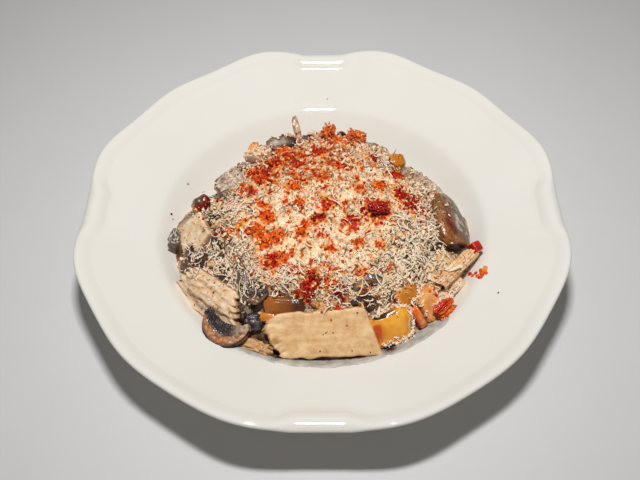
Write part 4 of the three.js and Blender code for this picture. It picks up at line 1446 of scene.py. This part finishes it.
places, normals = strewn(SHAVINGS, shaving_cover, 1.3)
places[:, 2] += 0.4 + 0.8 * rng.random(SHAVINGS)
sizes = np.hstack([spread(3, 9, SHAVINGS), spread(1, 2.2, SHAVINGS), spread(0.3, 0.5, SHAVINGS)])
tints = mixed(paint(250, 234, 206), paint(230, 206, 170), rng.random(SHAVINGS))
strew("cheese_shavings", shred_shape(6, 7), places, normals, sizes, tints, cheese,
      bends=rng.uniform(-1.6, 0.8, SHAVINGS), loose=0.2, lift=1.2)


# ---- the loose chilli and pepper ----
# Flakes of chopped chilli on and round the clots, chilli dust most of all behind them, and coarse
# black pepper. Each is a crooked crumb of few faces, strewn as the cheese is.
FLAKES = 1100
DUST = 1200
SPECKS = 1500


def flake_cover(plan):
    """In the clots, and a few anywhere on the cheese."""
    return np.maximum(clotted(plan) ** 1.5, 0.03 * cheese_cover(plan))


def flake_tints(places):
    """Each flake has its nearest clot's colour, darker or lighter."""
    spots = np.array([clot[:2] for clot in CLOTS])
    nearest = np.argmin(np.linalg.norm(places[:, None, :2] - spots[None], axis=2), axis=1)
    paints = np.array([clot[3] for clot in CLOTS])[nearest]
    wrong = rng.random(len(places)) < 0.25
    paints[wrong] = np.array([ORANGE, RED, AMBER])[rng.integers(0, 3, wrong.sum())]
    return paints * rng.uniform(0.6, 1.35, (len(places), 1))


places, normals = strewn(FLAKES, flake_cover)
# They stand highest in the first clot, at the back.
tuft = 1.5 * near(places, *CLOTS[0][:3])
places[:, 2] += (1 + tuft) * rng.random(FLAKES) ** 2
sizes = spread(0.8, 2.4, FLAKES, 3)
strew("chilli_flakes", crumb_shape(7), places, normals, sizes, flake_tints(places), chopped,
      loose=1)


def dust_cover(plan):
    """Thick behind the middle, thin elsewhere."""
    return np.maximum(near(plan, -6, 28, 40), 0.12) * cheese_cover(plan)


places, normals = strewn(DUST, dust_cover)
places[:, 2] += 0.4 + 1.6 * rng.random(DUST)
tints = mixed(ORANGE, AMBER, rng.random(DUST)) * rng.uniform(0.45, 1.1, (DUST, 1))
strew("chilli_dust", crumb_shape(3, 6), places, normals, spread(0.4, 1.0, DUST, 3), tints, chopped,
      loose=1)


def speck_cover(plan):
    """Thin over all the cheese, thicker over the wet spots."""
    return np.maximum(0.3 * cheese_cover(plan), wetted(plan))


places, normals = strewn(SPECKS, speck_cover, 0.3)
places[:, 2] += 0.5 + 1.5 * rng.random(SPECKS)
tints = mixed(paint(44, 26, 14), paint(96, 58, 32), rng.random(SPECKS))
strew("pepper_specks", crumb_shape(5, 6), places, normals, spread(0.5, 1.5, SPECKS, 3), tints, chopped,
      loose=1)


# ---- the small bits ----
# Bits of chicken and mushroom too small to be pieces, over the open flanks of the heap, and single
# bits of chilli, pepper and mushroom that have dropped apart. They are crumbs as the chilli is.
MINCE = 700


def flank_cover(plan):
    """The ring of the heap round the cheese, narrower behind."""
    radius = np.hypot(plan[:, 0], plan[:, 1])
    reach = np.where(plan[:, 1] > 0, 74, 92)
    return np.clip((radius - 52) / 10, 0, 1) * np.clip((reach - radius) / 4, 0, 1)


places, normals = strewn(MINCE, flank_cover, 1.5)
places[:, 2] += 0.3 * rng.random(MINCE)
tints = mixed(paint(236, 204, 164), paint(110, 76, 54), rng.random(MINCE) ** 1.4)
strew("minced_bits", crumb_shape(9), places, normals, spread(0.7, 2.6, MINCE, 3), tints, meat,
      loose=1)

# Single bits that lie apart, on the large slice and on the porcelain: plan position, size, colour.
STRAYS = (
    (-2.7, -69.5, 1.8, ORANGE), (-1.2, -72.5, 1.6, RED), (3.7, -75.5, 1.5, ORANGE), (6.6, -69.5, 2.2, RED),
    (9, -70.5, 1.6, ORANGE), (-2.7, -89.6, 0.9, PIT_SHADE_AND_BITS), (4.7, -81.3, 0.8, PIT_SHADE_AND_BITS), (-0.8, -82.2, 0.7, PIT_SHADE_AND_BITS),
    (12.4, -78.2, 0.8, PIT_SHADE_AND_BITS), (14.9, -89.4, 0.8, PIT_SHADE_AND_BITS), (25, -90, 0.8, PIT_SHADE_AND_BITS), (-87, 38, 1.8, GREY_FLESH),
    (-95, 12, 1.6, PIT_SHADE_AND_BITS), (-94, 9, 1.2, GREY_FLESH), (6, 108, 1.2, GREY_FLESH), (98.5, -59, 1.1, PIT_SHADE_AND_BITS),
    (87, -38.5, 2.6, RED), (88, -41, 2.4, ORANGE), (89.5, -40, 2.2, RED), (90, -43.1, 2.6, ORANGE),
    (91.4, -45, 2.2, ORANGE), (92.6, -42.5, 3.4, ORANGE), (93.9, -40.6, 3.6, AMBER), (95, -39, 3, AMBER),
    (92.5, -39.5, 2.6, ORANGE), (90.5, -45, 1.8, RED), (94.6, -42.6, 2.4, ORANGE),
    (64, -58, 2.4, RED), (66, -56, 2.6, ORANGE), (62.5, -55, 2.2, RED), (68, -58, 2.6, RED),
    (70, -60, 2.4, ORANGE), (60, -57, 1.8, ORANGE), (72.5, -62, 2.4, ORANGE), (69, -69, 2, ORANGE),
)
places = []
for x, y, size, _ in STRAYS:
    place = fall(x, y)[0]
    ground = well_height(math.hypot(x, y))
    places.append((x, y, (max(place.z / MM, ground) if place else ground) + 0.2 * size))
count = len(STRAYS)
sizes = np.array([[1.2 * size, size, 0.8 * size] for _, _, size, _ in STRAYS])
tints = np.array([colour for *_, colour in STRAYS])
strew("stray_bits", crumb_shape(11), np.array(places), np.tile([0.0, 0, 1], (count, 1)), sizes, tints,
      chopped, lift=0, loose=0.3)
